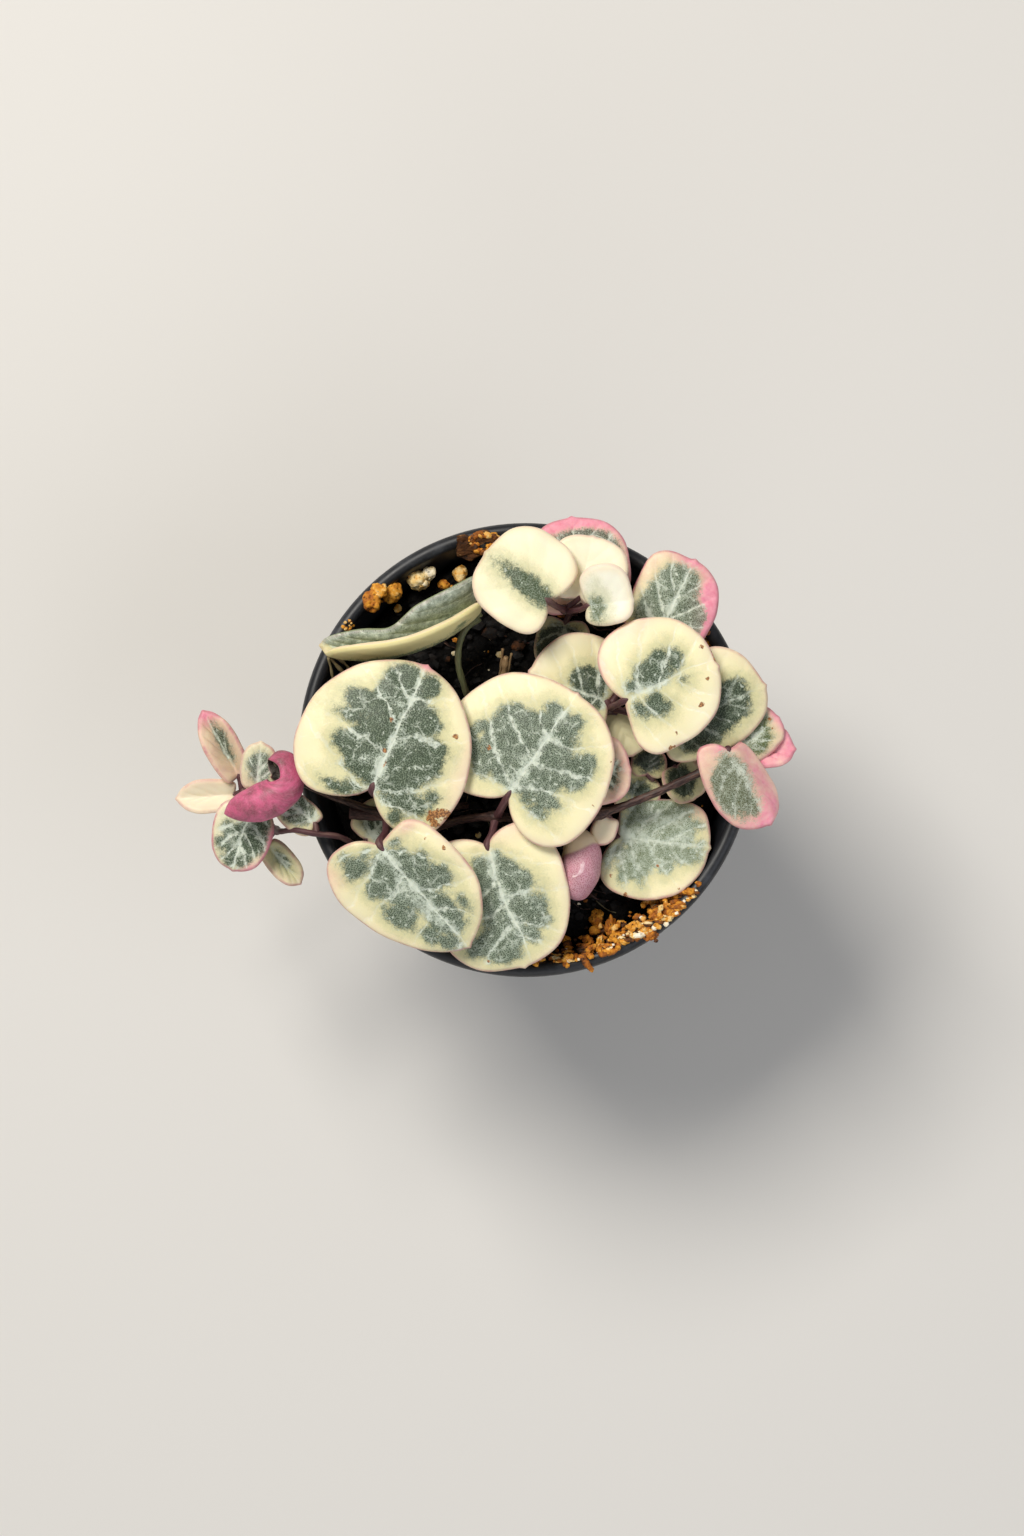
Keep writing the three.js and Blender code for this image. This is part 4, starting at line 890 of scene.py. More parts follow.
# ---- potting mix ----
CRUMBS = 1500
CRUMB_REACH = 23.6  # how far from the axis the loose crumbs lie
MIX = ("potting_mix", "potting_mix")  # the node that these pieces stand for, and its slot
LAID_FROM = 60.0  # the height from which the top of the peat is laid down on soil_top()


def soil_top(x, y):
    """Height of the soil: uneven by half a millimetre, and lower towards the wall."""
    ripple = (0.45 * math.sin(0.83 * x + 1.1) * math.cos(0.71 * y - 0.4)
              + 0.3 * math.sin(1.7 * x - 1.2 * y + 0.6) + 0.2 * math.cos(2.3 * y + 0.9 * x))
    return SOIL_LEVEL + ripple - max(0, math.hypot(x, y) - 19) * 0.16


def wall_at(z):
    """Inner radius of the pot's wall, less the clearance, at a height."""
    foot = FOOT_RADIUS - 0.2
    return foot + (BODY_TOP - WALL - foot) * (z - 3.4) / (BAND_FOOT - 3.4) - 0.4


def soil_piece():
    """The bed of peat: the inside of the pot, with fine rings on top that lie in crumbs."""
    profile = [(0, FLOOR_TOP + 0.4), (FOOT_RADIUS - 1.6, FLOOR_TOP + 0.4), (wall_at(3.4) - 0.2, 3.9)]
    profile += [(wall_at(z), z) for z in (12, 24, 36, 44)] + [(wall_at(45.4), 46.4)]
    profile += [(0.55 * i, LAID_FROM) for i in range(44, -1, -1)]
    bm = turned(profile, 150)
    for v in bm.verts:
        if v.co.z > LAID_FROM - 1:
            spot = Vector((v.co.x, v.co.y, 0))
            crumbs = noise.noise(spot * 0.9) * 0.35 + abs(noise.noise(spot * 2.1)) * 0.5
            crumbs += abs(noise.noise(spot * 4.5 + Vector((3, 1, 0)))) * 0.3
            v.co.z = soil_top(v.co.x, v.co.y) + crumbs - 0.25
    mesh_piece("peat_bed", bm, SOIL, *MIX)


def crumb_piece():
    """Loose crumbs of peat and bark with a few small mineral grains, a few faces each."""
    rng = random.Random(CRUMB_SWARM_SEED)
    shapes = []
    for i in range(CRUMBS):
        r, a = CRUMB_REACH * math.sqrt(rng.random()), rng.uniform(0, 2 * math.pi)
        x, y = r * math.cos(a), r * math.sin(a)
        size = rng.choice((0.22, 0.3, 0.3, 0.42, 0.42, 0.6, 0.85))
        pick = rng.random()
        tone = rng.uniform(-0.04, 0.06)
        if pick > 0.82:
            tone = rng.uniform(0.14, 0.34)
        if pick > 0.93:
            tone, size = rng.uniform(0.5, 0.95), size * 0.55
        squash = (rng.uniform(0.8, 1.5), rng.uniform(0.7, 1.1), rng.uniform(0.45, 0.8))
        shapes.append(((x, y, soil_top(x, y) + size * 0.25), size, i + 1, 1, 0.3, squash, tone, 0))
    mesh_piece("loose_crumbs", gathered(lump, shapes), GRAIN, *MIX, smooth=False)


# Stones of the mix: place, radius, squash and tone (0 black, 0.5 amber, 1 white).
STONES = (
    (-16.8, 19.8, 1.25, (1.0, 1.1, 0.95), 0.6), (-8.3, 22.4, 0.95, (0.95, 1.15, 0.8), 0.7),
    (-14.6, 15.6, 0.6, (1, 1, 0.8), 0.4), (-16.2, 18.0, 0.5, (1, 1, 0.8), 0.66),
    (-1.0, 13.2, 0.8, (1, 1, 0.8), 0.22), (1.4, 5.2, 0.8, (1, 1, 0.8), 0.3),
    (-11.8, 4.4, 0.9, (1, 1, 0.8), 0.5), (-14.4, -2.4, 0.9, (1, 1, 0.8), 0.45),
    (-21.4, -4.6, 1.0, (1, 1, 0.8), 0.5), (-15.4, -15.6, 1.0, (1, 1, 0.8), 0.5),
    (-3.0, -17.0, 0.9, (1, 1, 0.8), 0.3), (5.6, -15.6, 0.8, (1, 1, 0.8), 0.2),
    (9.0, -21.2, 0.95, (0.8, 1.3, 0.8), 0.56), (17.8, 14.6, 1.0, (1, 1, 0.8), 0.5),
    (20.6, 7.8, 1.0, (1, 1, 0.8), 0.5), (14.2, 8.2, 0.8, (1, 1, 0.8), 0.25),
    (21.4, -9.8, 1.0, (1, 1, 0.8), 0.42), (-9.4, 20.6, 0.4, (1.3, 0.8, 0.6), 0.55),
    (-13.5, 21.5, 1.3, (1.15, 0.95, 0.9), 0.76), (-12.2, 22.3, 0.85, (1, 1, 0.9), 0.92),
    (-10.4, 21.1, 0.75, (1.1, 0.9, 0.8), 0.56), (-19.4, 18.5, 1.15, (0.9, 1.25, 0.8), 0.52),
    (-18.3, 19.8, 0.9, (1.1, 1, 0.8), 0.6),
)

# Clusters of small grains stuck together: middle, spread, grain radius, count and two tones.
CLUSTERS = (
    ((28.0, -3.1, 52.2), (0.8, 0.7, 0.1), 0.3, 12, 0.8, 1.0),
    ((-19.0, 18.9, 49.6), (1.3, 1.4, 0.3), 0.22, 30, 0.3, 0.8),
    ((-22.3, 15.2, 49.0), (0.7, 0.9, 0.6), 0.22, 16, 0.5, 0.8),
    ((22.0, 14.4, 49.8), (0.9, 1.3, 0.7), 0.4, 18, 0.2, 0.6),
)


def lip_line(r):
    """Height of the soil, the inner wall and the lip, outwards from the middle."""
    return float(np.interp(r, (23.0, 24.4, 25.4, 26.3, 26.75, 27.3, 27.9, 28.4),
                           (47.3, 47.8, 49.2, 50.9, 51.9, 52.2, 52.1, 51.6)))


KNOBS = 9  # small lumps on each stone


def stone_piece():
    """Pumice and white mineral stones, knobbly, and clusters of small grains."""
    shapes = []
    for i, (x, y, size, squash, tone) in enumerate(STONES):
        z = max(soil_top(x, y) + size * 0.1, lip_line(math.hypot(x, y)) + 0.3)
        detail = 4 if size > 0.8 else 3
        shapes.append(((x, y, z), size, STONE_SEED + i, detail, 0.2, squash, tone, 0.5))
        rng = random.Random(STONE_SWARM_SEED + i)
        for k in range(KNOBS):
            a, out = rng.uniform(0, 6.28), size * rng.uniform(0.4, 0.8)
            place = (x + out * math.cos(a), y + out * math.sin(a), z + size * rng.uniform(0.1, 0.45))
            shade = min(1, tone + rng.uniform(-0.12, 0.1))
            shapes.append((place, size * rng.uniform(0.25, 0.45), STONE_KNOB_SEED + KNOBS * i + k, 2,
                           0.3, (1, 1, 0.9), shade, 0.5))
    for i, (at, spread, size, count, low, high) in enumerate(CLUSTERS):
        rng = random.Random(CLUSTER_SWARM_SEED + i)
        for k in range(count):
            out, a = math.sqrt(rng.random()), rng.uniform(0, 6.28)
            lift = (1 - out) * spread[2] + rng.uniform(-0.15, 0.15)
            x, y = at[0] + out * spread[0] * math.cos(a), at[1] + out * spread[1] * math.sin(a)
            place = (x, y, max(at[2], lip_line(math.hypot(x, y))) + lift)
            shapes.append((place, size * rng.uniform(0.55, 1.15), CLUSTER_SEED + 40 * i + k, 3,
                           0.24, (1, 1, 0.9), rng.uniform(low, high), 0.25))
    mesh_piece("pumice_stones", gathered(lump, shapes), GRAIN, *MIX)


# Larger lumps of the crust: degrees round the rim, distance out, height, radius, squash, tone.
CRUST_LUMPS = (
    (-64.4, 24.8, 48.9, 0.85, (0.8, 1.3, 0.7), 0.52), (-58.1, 26.3, 51.2, 0.95, (1.3, 0.85, 0.75), 0.6),
    (-63.9, 26.3, 51.1, 0.75, (1.5, 0.8, 0.7), 0.55), (-69.0, 25.8, 50.0, 0.55, (0.9, 1.2, 0.8), 0.6),
    (-49.7, 24.9, 49.0, 0.75, (1.2, 0.9, 0.7), 0.64), (-46.6, 25.9, 50.4, 0.7, (1.4, 0.6, 0.7), 0.6),
    (-44.6, 26.2, 50.9, 0.6, (0.6, 1.3, 0.7), 0.5), (-42.1, 26.6, 51.5, 0.9, (1.5, 0.8, 0.6), 0.36),
    (-49.1, 26.7, 51.7, 0.8, (0.9, 1.2, 0.6), 0.56), (-56.4, 27.9, 52.0, 0.7, (1.2, 0.9, 0.6), 0.46),
    (-61.0, 25.4, 49.6, 0.5, (1, 1, 0.8), 0.3), (-73.5, 26.0, 50.4, 0.6, (1.3, 0.8, 0.7), 0.42),
    (31, 25.8, 50.6, 0.8, (1, 1, 0.8), 0.5), (36, 26.8, 51.8, 0.7, (1, 1, 0.8), 0.34),
)
# Curled flakes of the crust: degrees round the rim, distance out, height, radius of the curl,
# where it starts and how far it turns (degrees), and tone.
CURLS = (
    (-46.2, 26.1, 51.0, 0.75, 20, 250, 0.58), (-49.4, 26.9, 52.1, 0.9, 140, 230, 0.6),
    (-54.0, 26.0, 51.0, 0.7, 200, 240, 0.55), (-58.6, 26.9, 52.1, 0.85, 30, 210, 0.6),
    (-63.0, 25.6, 50.2, 0.7, 90, 250, 0.56), (-66.4, 26.8, 52.0, 0.75, 250, 220, 0.52),
    (-42.6, 25.7, 50.4, 0.6, 160, 240, 0.6), (-71.6, 26.7, 51.9, 0.7, 10, 230, 0.5),
    (-52.0, 24.9, 49.4, 0.65, 300, 240, 0.6), (-78.6, 27.0, 52.1, 0.6, 60, 200, 0.46),
)
# White mineral beads on the crust: degrees round the rim, distance out, height and radius.
BEADS = (
    (-55.6, 25.6, 50.4, 0.30), (-61.1, 26.5, 51.6, 0.26), (-62.4, 26.3, 51.5, 0.2),
    (-54.5, 27.5, 52.4, 0.34), (-51.4, 28.0, 52.2, 0.34), (-47.7, 27.8, 52.3, 0.36),
    (-50.4, 25.4, 49.9, 0.22), (-57.0, 27.4, 52.4, 0.2), (-66.0, 26.8, 52.2, 0.2),
    (-44.0, 27.4, 52.4, 0.2), (-70.5, 26.9, 52.2, 0.18), (-76.0, 27.1, 52.3, 0.18),
)


# Small grains of the crust, on the lip and on the wall inside it: count, sizes and squash.
FILM = (560, (0.12, 0.16, 0.22, 0.3, 0.42), ((0.8, 2.2), (0.6, 1.1), (0.5, 0.8)))
WALL_GRAINS = (240, (0.2, 0.28, 0.4, 0.52), ((0.8, 1.5), (0.7, 1.1), (0.5, 0.9)))


def crust_piece():
    """Coppery, dried crust of fertiliser and fine bark: a granular film along the lip, and
    golden lumps with white beads on the wall inside it."""
    rng = random.Random(CRUST_SWARM_SEED)
    shapes = []
    count, sizes, squashes = FILM
    for i in range(count):
        degrees = rng.uniform(-88, -38)
        wander = 0.25 * math.sin(degrees * 0.9) + 0.15 * math.sin(degrees * 2.3)
        r = 26.9 + wander + 0.02 * (degrees + 60) + rng.gauss(0, 0.3)
        if noise.noise(Vector((degrees * 0.35, r * 0.8, 0))) < -0.08:
            continue
        size = rng.choice(sizes)
        squash = tuple(rng.uniform(*limits) for limits in squashes)
        place = around(degrees, r, lip_line(r) + size * 0.25 + rng.uniform(0, 0.12))
        tone = rng.triangular(0.12, 0.98, 0.56)
        shapes.append((place, size, FILM_SEED + i, 2, 0.3, squash, tone, 0.4))
    count, sizes, squashes = WALL_GRAINS
    for i in range(count):
        degrees = rng.uniform(-84, -40) if rng.random() < 0.86 else rng.uniform(24, 40)
        r = rng.uniform(24.2, 26.6)
        if math.sin(degrees * 1.1 + 0.8) < rng.uniform(-1.0, 0.9):
            continue
        size = rng.choice(sizes)
        squash = tuple(rng.uniform(*limits) for limits in squashes)
        place = around(degrees, r, lip_line(r) + size * 0.25 + rng.uniform(0, 0.3))
        tone = rng.triangular(0.1, 0.75, 0.45)
        shapes.append((place, size, WALL_GRAIN_SEED + i, 2, 0.34, squash, tone, 0.5))
    for degrees, r, z, size, squash, tone in CRUST_LUMPS:
        x, y, z = around(degrees, r, z)
        seed = int(CRUST_SEED + 10 * degrees)
        shapes.append(((x, y, z), size, seed, 4, 0.36, squash, tone, 0.9))
        for k in range(7):
            near = (x + rng.gauss(0, 0.55) * size, y + rng.gauss(0, 0.55) * size,
                    z + rng.uniform(0, 0.5) * size)
            shapes.append((near, size * rng.uniform(0.22, 0.45), seed + k, 2, 0.3, squash,
                           tone + rng.uniform(-0.12, 0.22), 0.6))
    for i, (degrees, r, z, size, start, sweep, tone) in enumerate(CURLS):
        x, y, z = around(degrees, r, z)
        for k in range(13):
            a = math.radians(start + sweep * k / 12)
            place = (x + size * math.cos(a), y + size * math.sin(a),
                     z + 0.35 + 0.3 * math.sin(a * 0.5 + i))
            shapes.append((place, 0.3 + 0.08 * math.sin(1.7 * k + i), CURL_SEED + 20 * i + k, 2, 0.3,
                           (1, 1, 1.1), tone + rng.uniform(-0.06, 0.14), 0.4))
    for k, (degrees, r, z, size) in enumerate(BEADS):
        shapes.append((around(degrees, r, z), size, BEAD_SEED + k, 3, 0.12, (1, 1, 0.9), 0.97, 0.2))
    # A strand of bark that lies across the lip, in 16 lumps.
    for k in range(16):
        share = k / 15
        place = around(-74.6 + 1.1 * share, 27.5 + 1.3 * share, 52.2 - 0.5 * share ** 2)
        shapes.append((place, 0.42 - 0.12 * share, STRAND_SEED + k, 2, 0.25, (1, 1, 0.7),
                       0.36 + 0.2 * share, 0.5))
    mesh_piece("dried_crust", gathered(lump, shapes), GRAIN, *MIX)


# Dry roots and dead stem ends: their way, radius and tint.
FIBRES = (
    ([(-2.9, 8.8, 46.5), (-2.7, 9.6, 49.2), (-2.5, 11.6, 51.0)], 0.55, 3.0),
    ([(-3.3, 9.0, 46.5), (-3.2, 9.9, 49.2), (-2.9, 12.6, 51.4)], 0.22, 3.0),
    ([(-2.4, 8.9, 46.5), (-2.2, 9.9, 49.6), (-1.8, 12.0, 51.6)], 0.2, 2.9),
    ([(-4.6, 7.9, 47.0), (-3.4, 8.3, 50.0), (-0.4, 7.8, 50.3), (2.2, 8.6, 48.2)], 0.36, 2.8),
    ([(-5.2, 7.4, 48.4), (-4.4, 8.4, 50.4), (-3.0, 7.6, 50.9)], 0.24, 2.9),
    ([(3.9, 9.9, 46.5), (3.8, 9.7, 49.0), (4.3, 8.4, 49.8)], 0.3, 2.6),
    ([(-24.8, 11.8, 52.6), (-24.0, 10.8, 51.6), (-23.0, 9.8, 50.6), (-22.2, 9.4, 47.6)], 0.3, 2.5),
    ([(-24.7, 11.4, 52.6), (-24.4, 10.0, 51.6), (-24.2, 8.6, 50.4)], 0.22, 2.4),
    ([(-24.4, 11.6, 52.5), (-23.0, 11.0, 51.0), (-21.8, 9.6, 48.4)], 0.24, 2.6),
)


def fibre_piece():
    """Dry roots, dead stem ends and peat fibres in and on the mix."""
    shapes = []
    for i, (points, wide, tint) in enumerate(FIBRES):
        def frayed(s, w=wide, e=way_length(points), k=i):
            return w * (0.82 + 0.16 * math.sin(3.1 * s + k) - 0.3 * max(0, s / e - 0.6))
        shapes.append((points, frayed, 0.25, 9, tint, i))
    rng = random.Random(FIBRE_SWARM_SEED)
    for i in range(90):
        r, a = 23.0 * math.sqrt(rng.random()), rng.uniform(0, 6.28)
        x, y, way = r * math.cos(a), r * math.sin(a), rng.uniform(0, 6.28)
        points = []
        for _ in range(4):
            points.append((x, y, soil_top(x, y) + rng.uniform(-0.1, 0.7)))
            way += rng.uniform(-0.8, 0.8)
            reach = rng.uniform(0.7, 1.5)
            x, y = x + reach * math.cos(way), y + reach * math.sin(way)
            if math.hypot(x, y) > 24:
                break
        if len(points) > 2:
            shapes.append((points, rng.uniform(0.05, 0.12), 0.5, 5, rng.choice((0, 0, 0.3, 1.6)), i))
    mesh_piece("dry_fibres", gathered(tube, shapes, 8), STALK, *MIX)


def bark_piece():
    """The bark chip, torn along its layers, with the ring of a knot and painted shade for its hole."""
    bm = bmesh.new()
    bm.from_mesh(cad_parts["bark_chip"].data)
    bmesh.ops.scale(bm, vec=(1000, 1000, 1000), verts=bm.verts[:])
    bmesh.ops.remove_doubles(bm, verts=bm.verts[:], dist=1e-3)
    bmesh.ops.subdivide_edges(bm, edges=bm.edges[:], cuts=4, use_grid_fill=True)
    bm.normal_update()
    for v in bm.verts:
        layered_up = noise.noise(Vector((v.co.x * 0.7, v.co.y * 2.2, v.co.z * 4))) * 0.42
        v.co += v.normal * (layered_up + noise.noise(v.co * 1.9) * 0.12 - 0.06)
    mesh_piece("pine_bark", bm, BARK, "bark_chip", "bark")
    shapes = []
    rng = random.Random(KNOT_SWARM_SEED)
    knot_x, knot_y = -5.3, 25.8
    for k in range(90):
        a = 2 * math.pi * k / 90
        out = 1 + 0.14 * math.sin(3 * a + 1) + rng.gauss(0, 0.1)
        x, y = 1.45 * out * math.cos(a), 1.0 * out * math.sin(a)
        place = (knot_x + x - 0.35 * y, knot_y + y + 0.2 * x,
                 53.2 + 0.25 * math.sin(a) + rng.uniform(-0.2, 0.2))
        shapes.append((place, rng.uniform(0.2, 0.42), KNOT_SEED + k, 2, 0.36, (1.2, 1, 0.9),
                       rng.triangular(0.2, 0.7, 0.42), 0.2))
    # Near-black lumps inside the ring: painted shade where the knot's hole is.
    for k in range(12):
        a = 2 * math.pi * k / 12
        place = (knot_x + 0.6 * math.cos(a), knot_y + 0.4 * math.sin(a), 52.95 + 0.1 * math.sin(a))
        shapes.append((place, 0.5, KNOT_BED_SEED + k, 2, 0.3, (1.2, 1, 0.6), -0.1, 0))
    mesh_piece("bark_scar", gathered(lump, shapes), GRAIN, "bark_chip", "bark")


# ---- vines ----
# Each stem's way through the air, its radius, its tint on the scale of the stems' colours, the
# joints where leaves spring, and its leaves. Places are from the middle of the pot's bottom.
# Leaves that lie in shade carry painted shade, which darkens their colours.
VINES = {
    "main": dict(
        stem=[(-11.8, -10.4, 44.3), (-11.8, -10.4, 47.5), (-11.0, -9.8, 50.2), (-8.0, -8.9, 53.0),
              (-3.6, -8.6, 54.5), (3.0, -9.3, 54.5), (9.2, -8.2, 55.0), (15.3, -6.0, 55.8),
              (22.1, -2.9, 56.8), (26.2, -0.9, 57.0)],
        width=0.62, tint=0.12, joints=[(-3.6, -8.6, 54.5), (9.2, -8.2, 55.0), (25.9, -1.0, 57.0)],
        leaves=[
            leaf("leaf_middle", (-2.1, -6.0, 58.8), 56, 15.0, (11.7, 3.1, 0.28, 0.66, 0, -0.01),
                (10.3, 3.4, 0.21, 0.64, 0, -0.01), [(-3.5, -8.4, 54.8), (-3.2, -7.9, 56.8)], 0.6,
                pitch=6, roll=-5, bow=0.008, wave=0.25, silver=1.35,
                patch=[(-1.0, 5.4, 7.6, 6.2), (0.8, 10.6, 3.8, 2.6)],
                isles=[(-0.9, 11.8, 1.5, 1.0), (1.9, 11.9, 1.2, 1.1), (-1.5, 10.0, 1.9, 1.1),
                       (2.0, 9.6, 1.9, 1.0), (-5.0, 7.9, 2.0, 2.0), (-2.4, 7.0, 2.1, 2.1),
                       (-4.4, 5.4, 1.6, 1.2), (-7.4, 5.0, 1.0, 1.1), (-8.0, 3.6, 0.9, 0.9),
                       (-6.6, 2.3, 1.5, 1.6), (-4.5, 1.3, 1.5, 1.9), (-2.1, 2.4, 1.4, 1.7),
                       (2.3, 6.4, 2.1, 2.2), (5.2, 6.6, 2.2, 2.4), (5.8, 8.8, 1.2, 1.1),
                       (4.2, 2.0, 1.8, 1.4), (1.9, 1.1, 1.5, 0.9), (4.0, 0.2, 1.6, 0.9),
                       (2.0, 4.2, 1.6, 1.4)],
                veins=((((0, 0.02), (0.3, 0.01), (0.7, -0.05)), ((0, 0.04), (0.25, 0.15), (0.66, 0.45)),
                        ((0, 0.34), (0.25, 0.4), (0.6, 0.62)), ((0, 0.58), (0.12, 0.64), (0.4, 0.8))),
                       (((0, 0.0), (0.3, -0.03), (0.7, -0.06)), ((0, 0.08), (0.3, 0.2), (0.75, 0.25)),
                        ((0, 0.3), (0.25, 0.36), (0.7, 0.46)), ((0, 0.56), (0.3, 0.56), (0.55, 0.72)))),
                stain=[(-5.2, 3.4, 0.4, 0.4, 0.75), (9.3, 4.6, 0.2, 0.2, 1.0),
                       (8.2, 10.3, 0.2, 0.2, 1.0)]),
            leaf("leaf_below_middle", (-4.8, -12.3, 56.7), -73, 15.7, (8.3, 1.9, 0.36, 0.66, 0, -0.012),
                (9.0, 2.0, 0.45, 0.72, 0, -0.012), [(-3.8, -8.9, 54.4), (-4.2, -10.8, 55.7)], 0.6,
                tip=0.05, pitch=-2, roll=3, bow=0.008, wave=0.3, silver=1.6,
                rib=((0, 0), (7.8, 0), (10, -0.6), (12, -0.9), (16, -1.0)),
                patch=[(0.0, 5.8, 4.6, 6.0), (1.2, 11.4, 4.4, 3.2)],
                isles=[(1.4, 13.5, 2.2, 1.3), (3.0, 11.6, 2.6, 2.0), (5.0, 11.9, 1.5, 1.0),
                       (-2.2, 12.2, 1.2, 1.0), (-3.0, 10.7, 1.6, 1.4), (-2.5, 8.6, 2.1, 1.7),
                       (-4.4, 9.0, 0.8, 1.8), (1.7, 9.0, 1.7, 1.6), (-2.6, 5.1, 2.0, 1.5),
                       (-1.3, 3.3, 1.4, 1.5), (-0.8, 1.4, 0.7, 0.9), (2.1, 6.4, 1.8, 1.3),
                       (1.6, 3.8, 1.3, 1.5), (1.5, 1.8, 1.2, 1.1)],
                veins=((((0, 0.02), (0.25, 0.1), (0.72, 0.24)), ((0, 0.45), (0.25, 0.43), (0.68, 0.48)),
                        ((0, 0.6), (0.15, 0.66), (0.5, 0.76)), ((0, 0.74), (0.15, 0.78), (0.35, 0.84))),
                       (((0, 0.03), (0.2, 0.02), (0.6, 0.0)), ((0, 0.27), (0.15, 0.33), (0.6, 0.46)),
                        ((0, 0.49), (0.2, 0.51), (0.6, 0.58)), ((0, 0.66), (0.2, 0.74), (0.5, 0.86)))),
                blush=[(-3.5, -1.2, 4.0, 1.6, 0.18)], stain=[(4.0, 13.7, 0.2, 0.2, 1.0)]),
            leaf("leaf_behind_middle", (8.1, -3.5, 56.3), 8, 4.9, (4.7, 0.6, 0.38, 0.72, 8, 0),
                (3.9, 0.6, 0.2, 0.72, 4, 0), [(8.6, -8.0, 55.1), (8.0, -5.6, 55.8)], 0.42, thick=1.0,
                pitch=4, wave=0.1, pink=0.4, silver=0.3, patch=[(-0.2, 1.9, 2.6, 1.8)]),
            leaf("leaf_hooked", (7.0, -10.6, 54.2), -108, 7.2, (), (),
                [(8.6, -8.6, 54.6), (7.6, -9.4, 54.4)], 0.42,
                route=[(6.6, -10.0, 54.0), (6.8, -11.7, 54.1), (6.9, -13.4, 54.0), (6.6, -15.2, 53.9),
                       (5.8, -16.7, 53.6), (4.4, -17.7, 53.2)], plump=(1.4, 2.0, 2.45, 2.6, 2.5, 2.1),
                silver=0.7, pale=0.75, cuff=(2.3, 0.3, 0.06), crease=[(0.75, 5.0, 1.0, 85, 150)]),
            leaf("leaf_bud", (10.4, -8.6, 54.4), -114, 3.8, (1.65, 0.04, 0.48, 0.56, 0, -0.08), 1.65,
                [(9.5, -8.3, 54.7)], 0.38, tip=0.15, thick=1.5, pitch=-4, pink=0.12, relief=0.0,
                ribs=0.0, rim=0.9),
            leaf("leaf_rim_front", (24.7, -0.6, 61.2), -60, 10.6, (3.9, 0.0, 0.6, 0.6, -48, 0),
                (4.9, 1.9, 0.46, 0.72, 0, -0.02), [(25.5, -1.1, 57.2), (25.0, -0.9, 59.2)], 0.5,
                tip=0.1, pitch=-5, roll=3, bow=0.01, wave=0.2, pink=0.42, silver=1.5, olive=0.45,
                rim=1.0, ribs=0.35, relief=0.5,
                patch=[(1.0, 6.6, 1.2, 2.3), (1.8, 3.6, 2.0, 2.2), (3.2, 5.6, 0.9, 2.0),
                       (0.6, 1.4, 1.0, 1.4)],
                blush=[(0.6, 9.6, 3.2, 1.8, 0.5), (-1.4, 5.0, 1.2, 4.6, 0.5),
                       (4.6, 5.0, 1.0, 4.0, 0.25), (0.0, -0.8, 1.4, 1.0, 0.7)]),
            leaf("leaf_rim_back", (26.3, -0.3, 57.7), 38, 6.3, (3.7, 0.6, 0.42, 0.78, 6, 0),
                (2.9, 0.6, 0.4, 0.78, 0, 0), [(26.0, -0.9, 57.2)], 0.42, tip=0.1, thick=1.0, pitch=-3,
                wave=0.15, pink=0.1, olive=0.8, silver=0.2, ribs=0.5,
                patch=[(-0.4, 2.2, 2.8, 2.4), (-1.6, 4.0, 1.2, 1.2)],
                stain=[(0.6, 4.9, 0.35, 0.3, 0.9), (-0.6, 5.2, 0.3, 0.25, 0.8)],
                blush=[(0, 6.2, 4.0, 1.0, 0.7), (3.2, 2.4, 0.8, 3.0, 0.6)]),
            leaf("leaf_rim_folded", (26.6, -0.8, 56.4), 4, 6.8, (3.5, 0.5, 0.5, 0.8, 4, 0.02),
                (2.5, 0.5, 0.5, 0.8, 30, 0.02), [(26.1, -0.9, 56.8)], 0.45, tip=0.7, thick=1.0, pitch=2,
                roll=-4, pink=0.95, relief=0.6, blush=[(2.6, 5.4, 1.4, 1.6, -0.3)]),
        ]),
    "left": dict(
        stem=[(-7.5, -6.9, 44.3), (-7.5, -6.9, 47.5), (-8.4, -7.1, 50.4), (-12.0, -7.9, 53.0),
              (-17.4, -8.1, 54.0), (-21.7, -6.9, 54.1), (-24.4, -5.9, 54.1), (-27.8, -4.4, 54.2),
              (-30.6, -3.5, 54.0), (-32.6, -3.2, 53.4)],
        width=0.55, tint=0.0, joints=[(-17.4, -8.2, 54.0), (-32.5, -3.2, 53.4)],
        leaves=[
            leaf("leaf_big_left", (-18.9, -5.3, 60.3), 66, 16.4, (11.7, 3.1, 0.24, 0.60, 0, -0.012),
                (10.4, 3.6, 0.18, 0.56, 0, -0.012), [(-17.5, -8.0, 54.4), (-17.7, -6.9, 57.6)], 0.62,
                tip=0.15, pitch=4, roll=-2, bow=0.01, wave=0.3, silver=0.4,
                patch=[(0.2, 4.4, 7.2, 5.6), (-1.2, 11.0, 4.6, 5.0), (3.4, -0.6, 3.6, 1.8)],
                isles=[(-2.0, 13.7, 2.2, 2.3), (1.3, 14.2, 1.6, 1.8), (2.4, 10.0, 2.4, 2.0),
                       (4.7, 5.5, 2.4, 2.9), (2.0, 3.4, 1.5, 2.5), (5.6, 7.9, 1.3, 0.9),
                       (5.0, 0.1, 2.7, 1.4), (7.2, 1.9, 1.1, 0.9), (4.1, -2.0, 1.1, 1.1),
                       (-5.0, 9.3, 3.1, 1.7), (-2.4, 8.2, 1.9, 1.2), (-4.6, 7.0, 3.2, 1.0),
                       (-1.4, 6.9, 1.1, 1.3), (-5.2, 3.8, 1.9, 1.6), (-2.6, 4.7, 1.3, 0.9),
                       (-3.2, 1.3, 1.6, 0.9), (-1.0, 1.2, 0.7, 1.0), (-4.0, -1.6, 2.1, 0.9),
                       (-1.9, -0.6, 1.2, 0.5)],
                veins=((((0, 0.01), (0.28, 0.0), (0.62, 0.16)), ((0, 0.27), (0.3, 0.35), (0.8, 0.38)),
                        ((0, 0.5), (0.25, 0.62), (0.46, 0.76)), ((0, 0.7), (0.12, 0.77), (0.3, 0.88))),
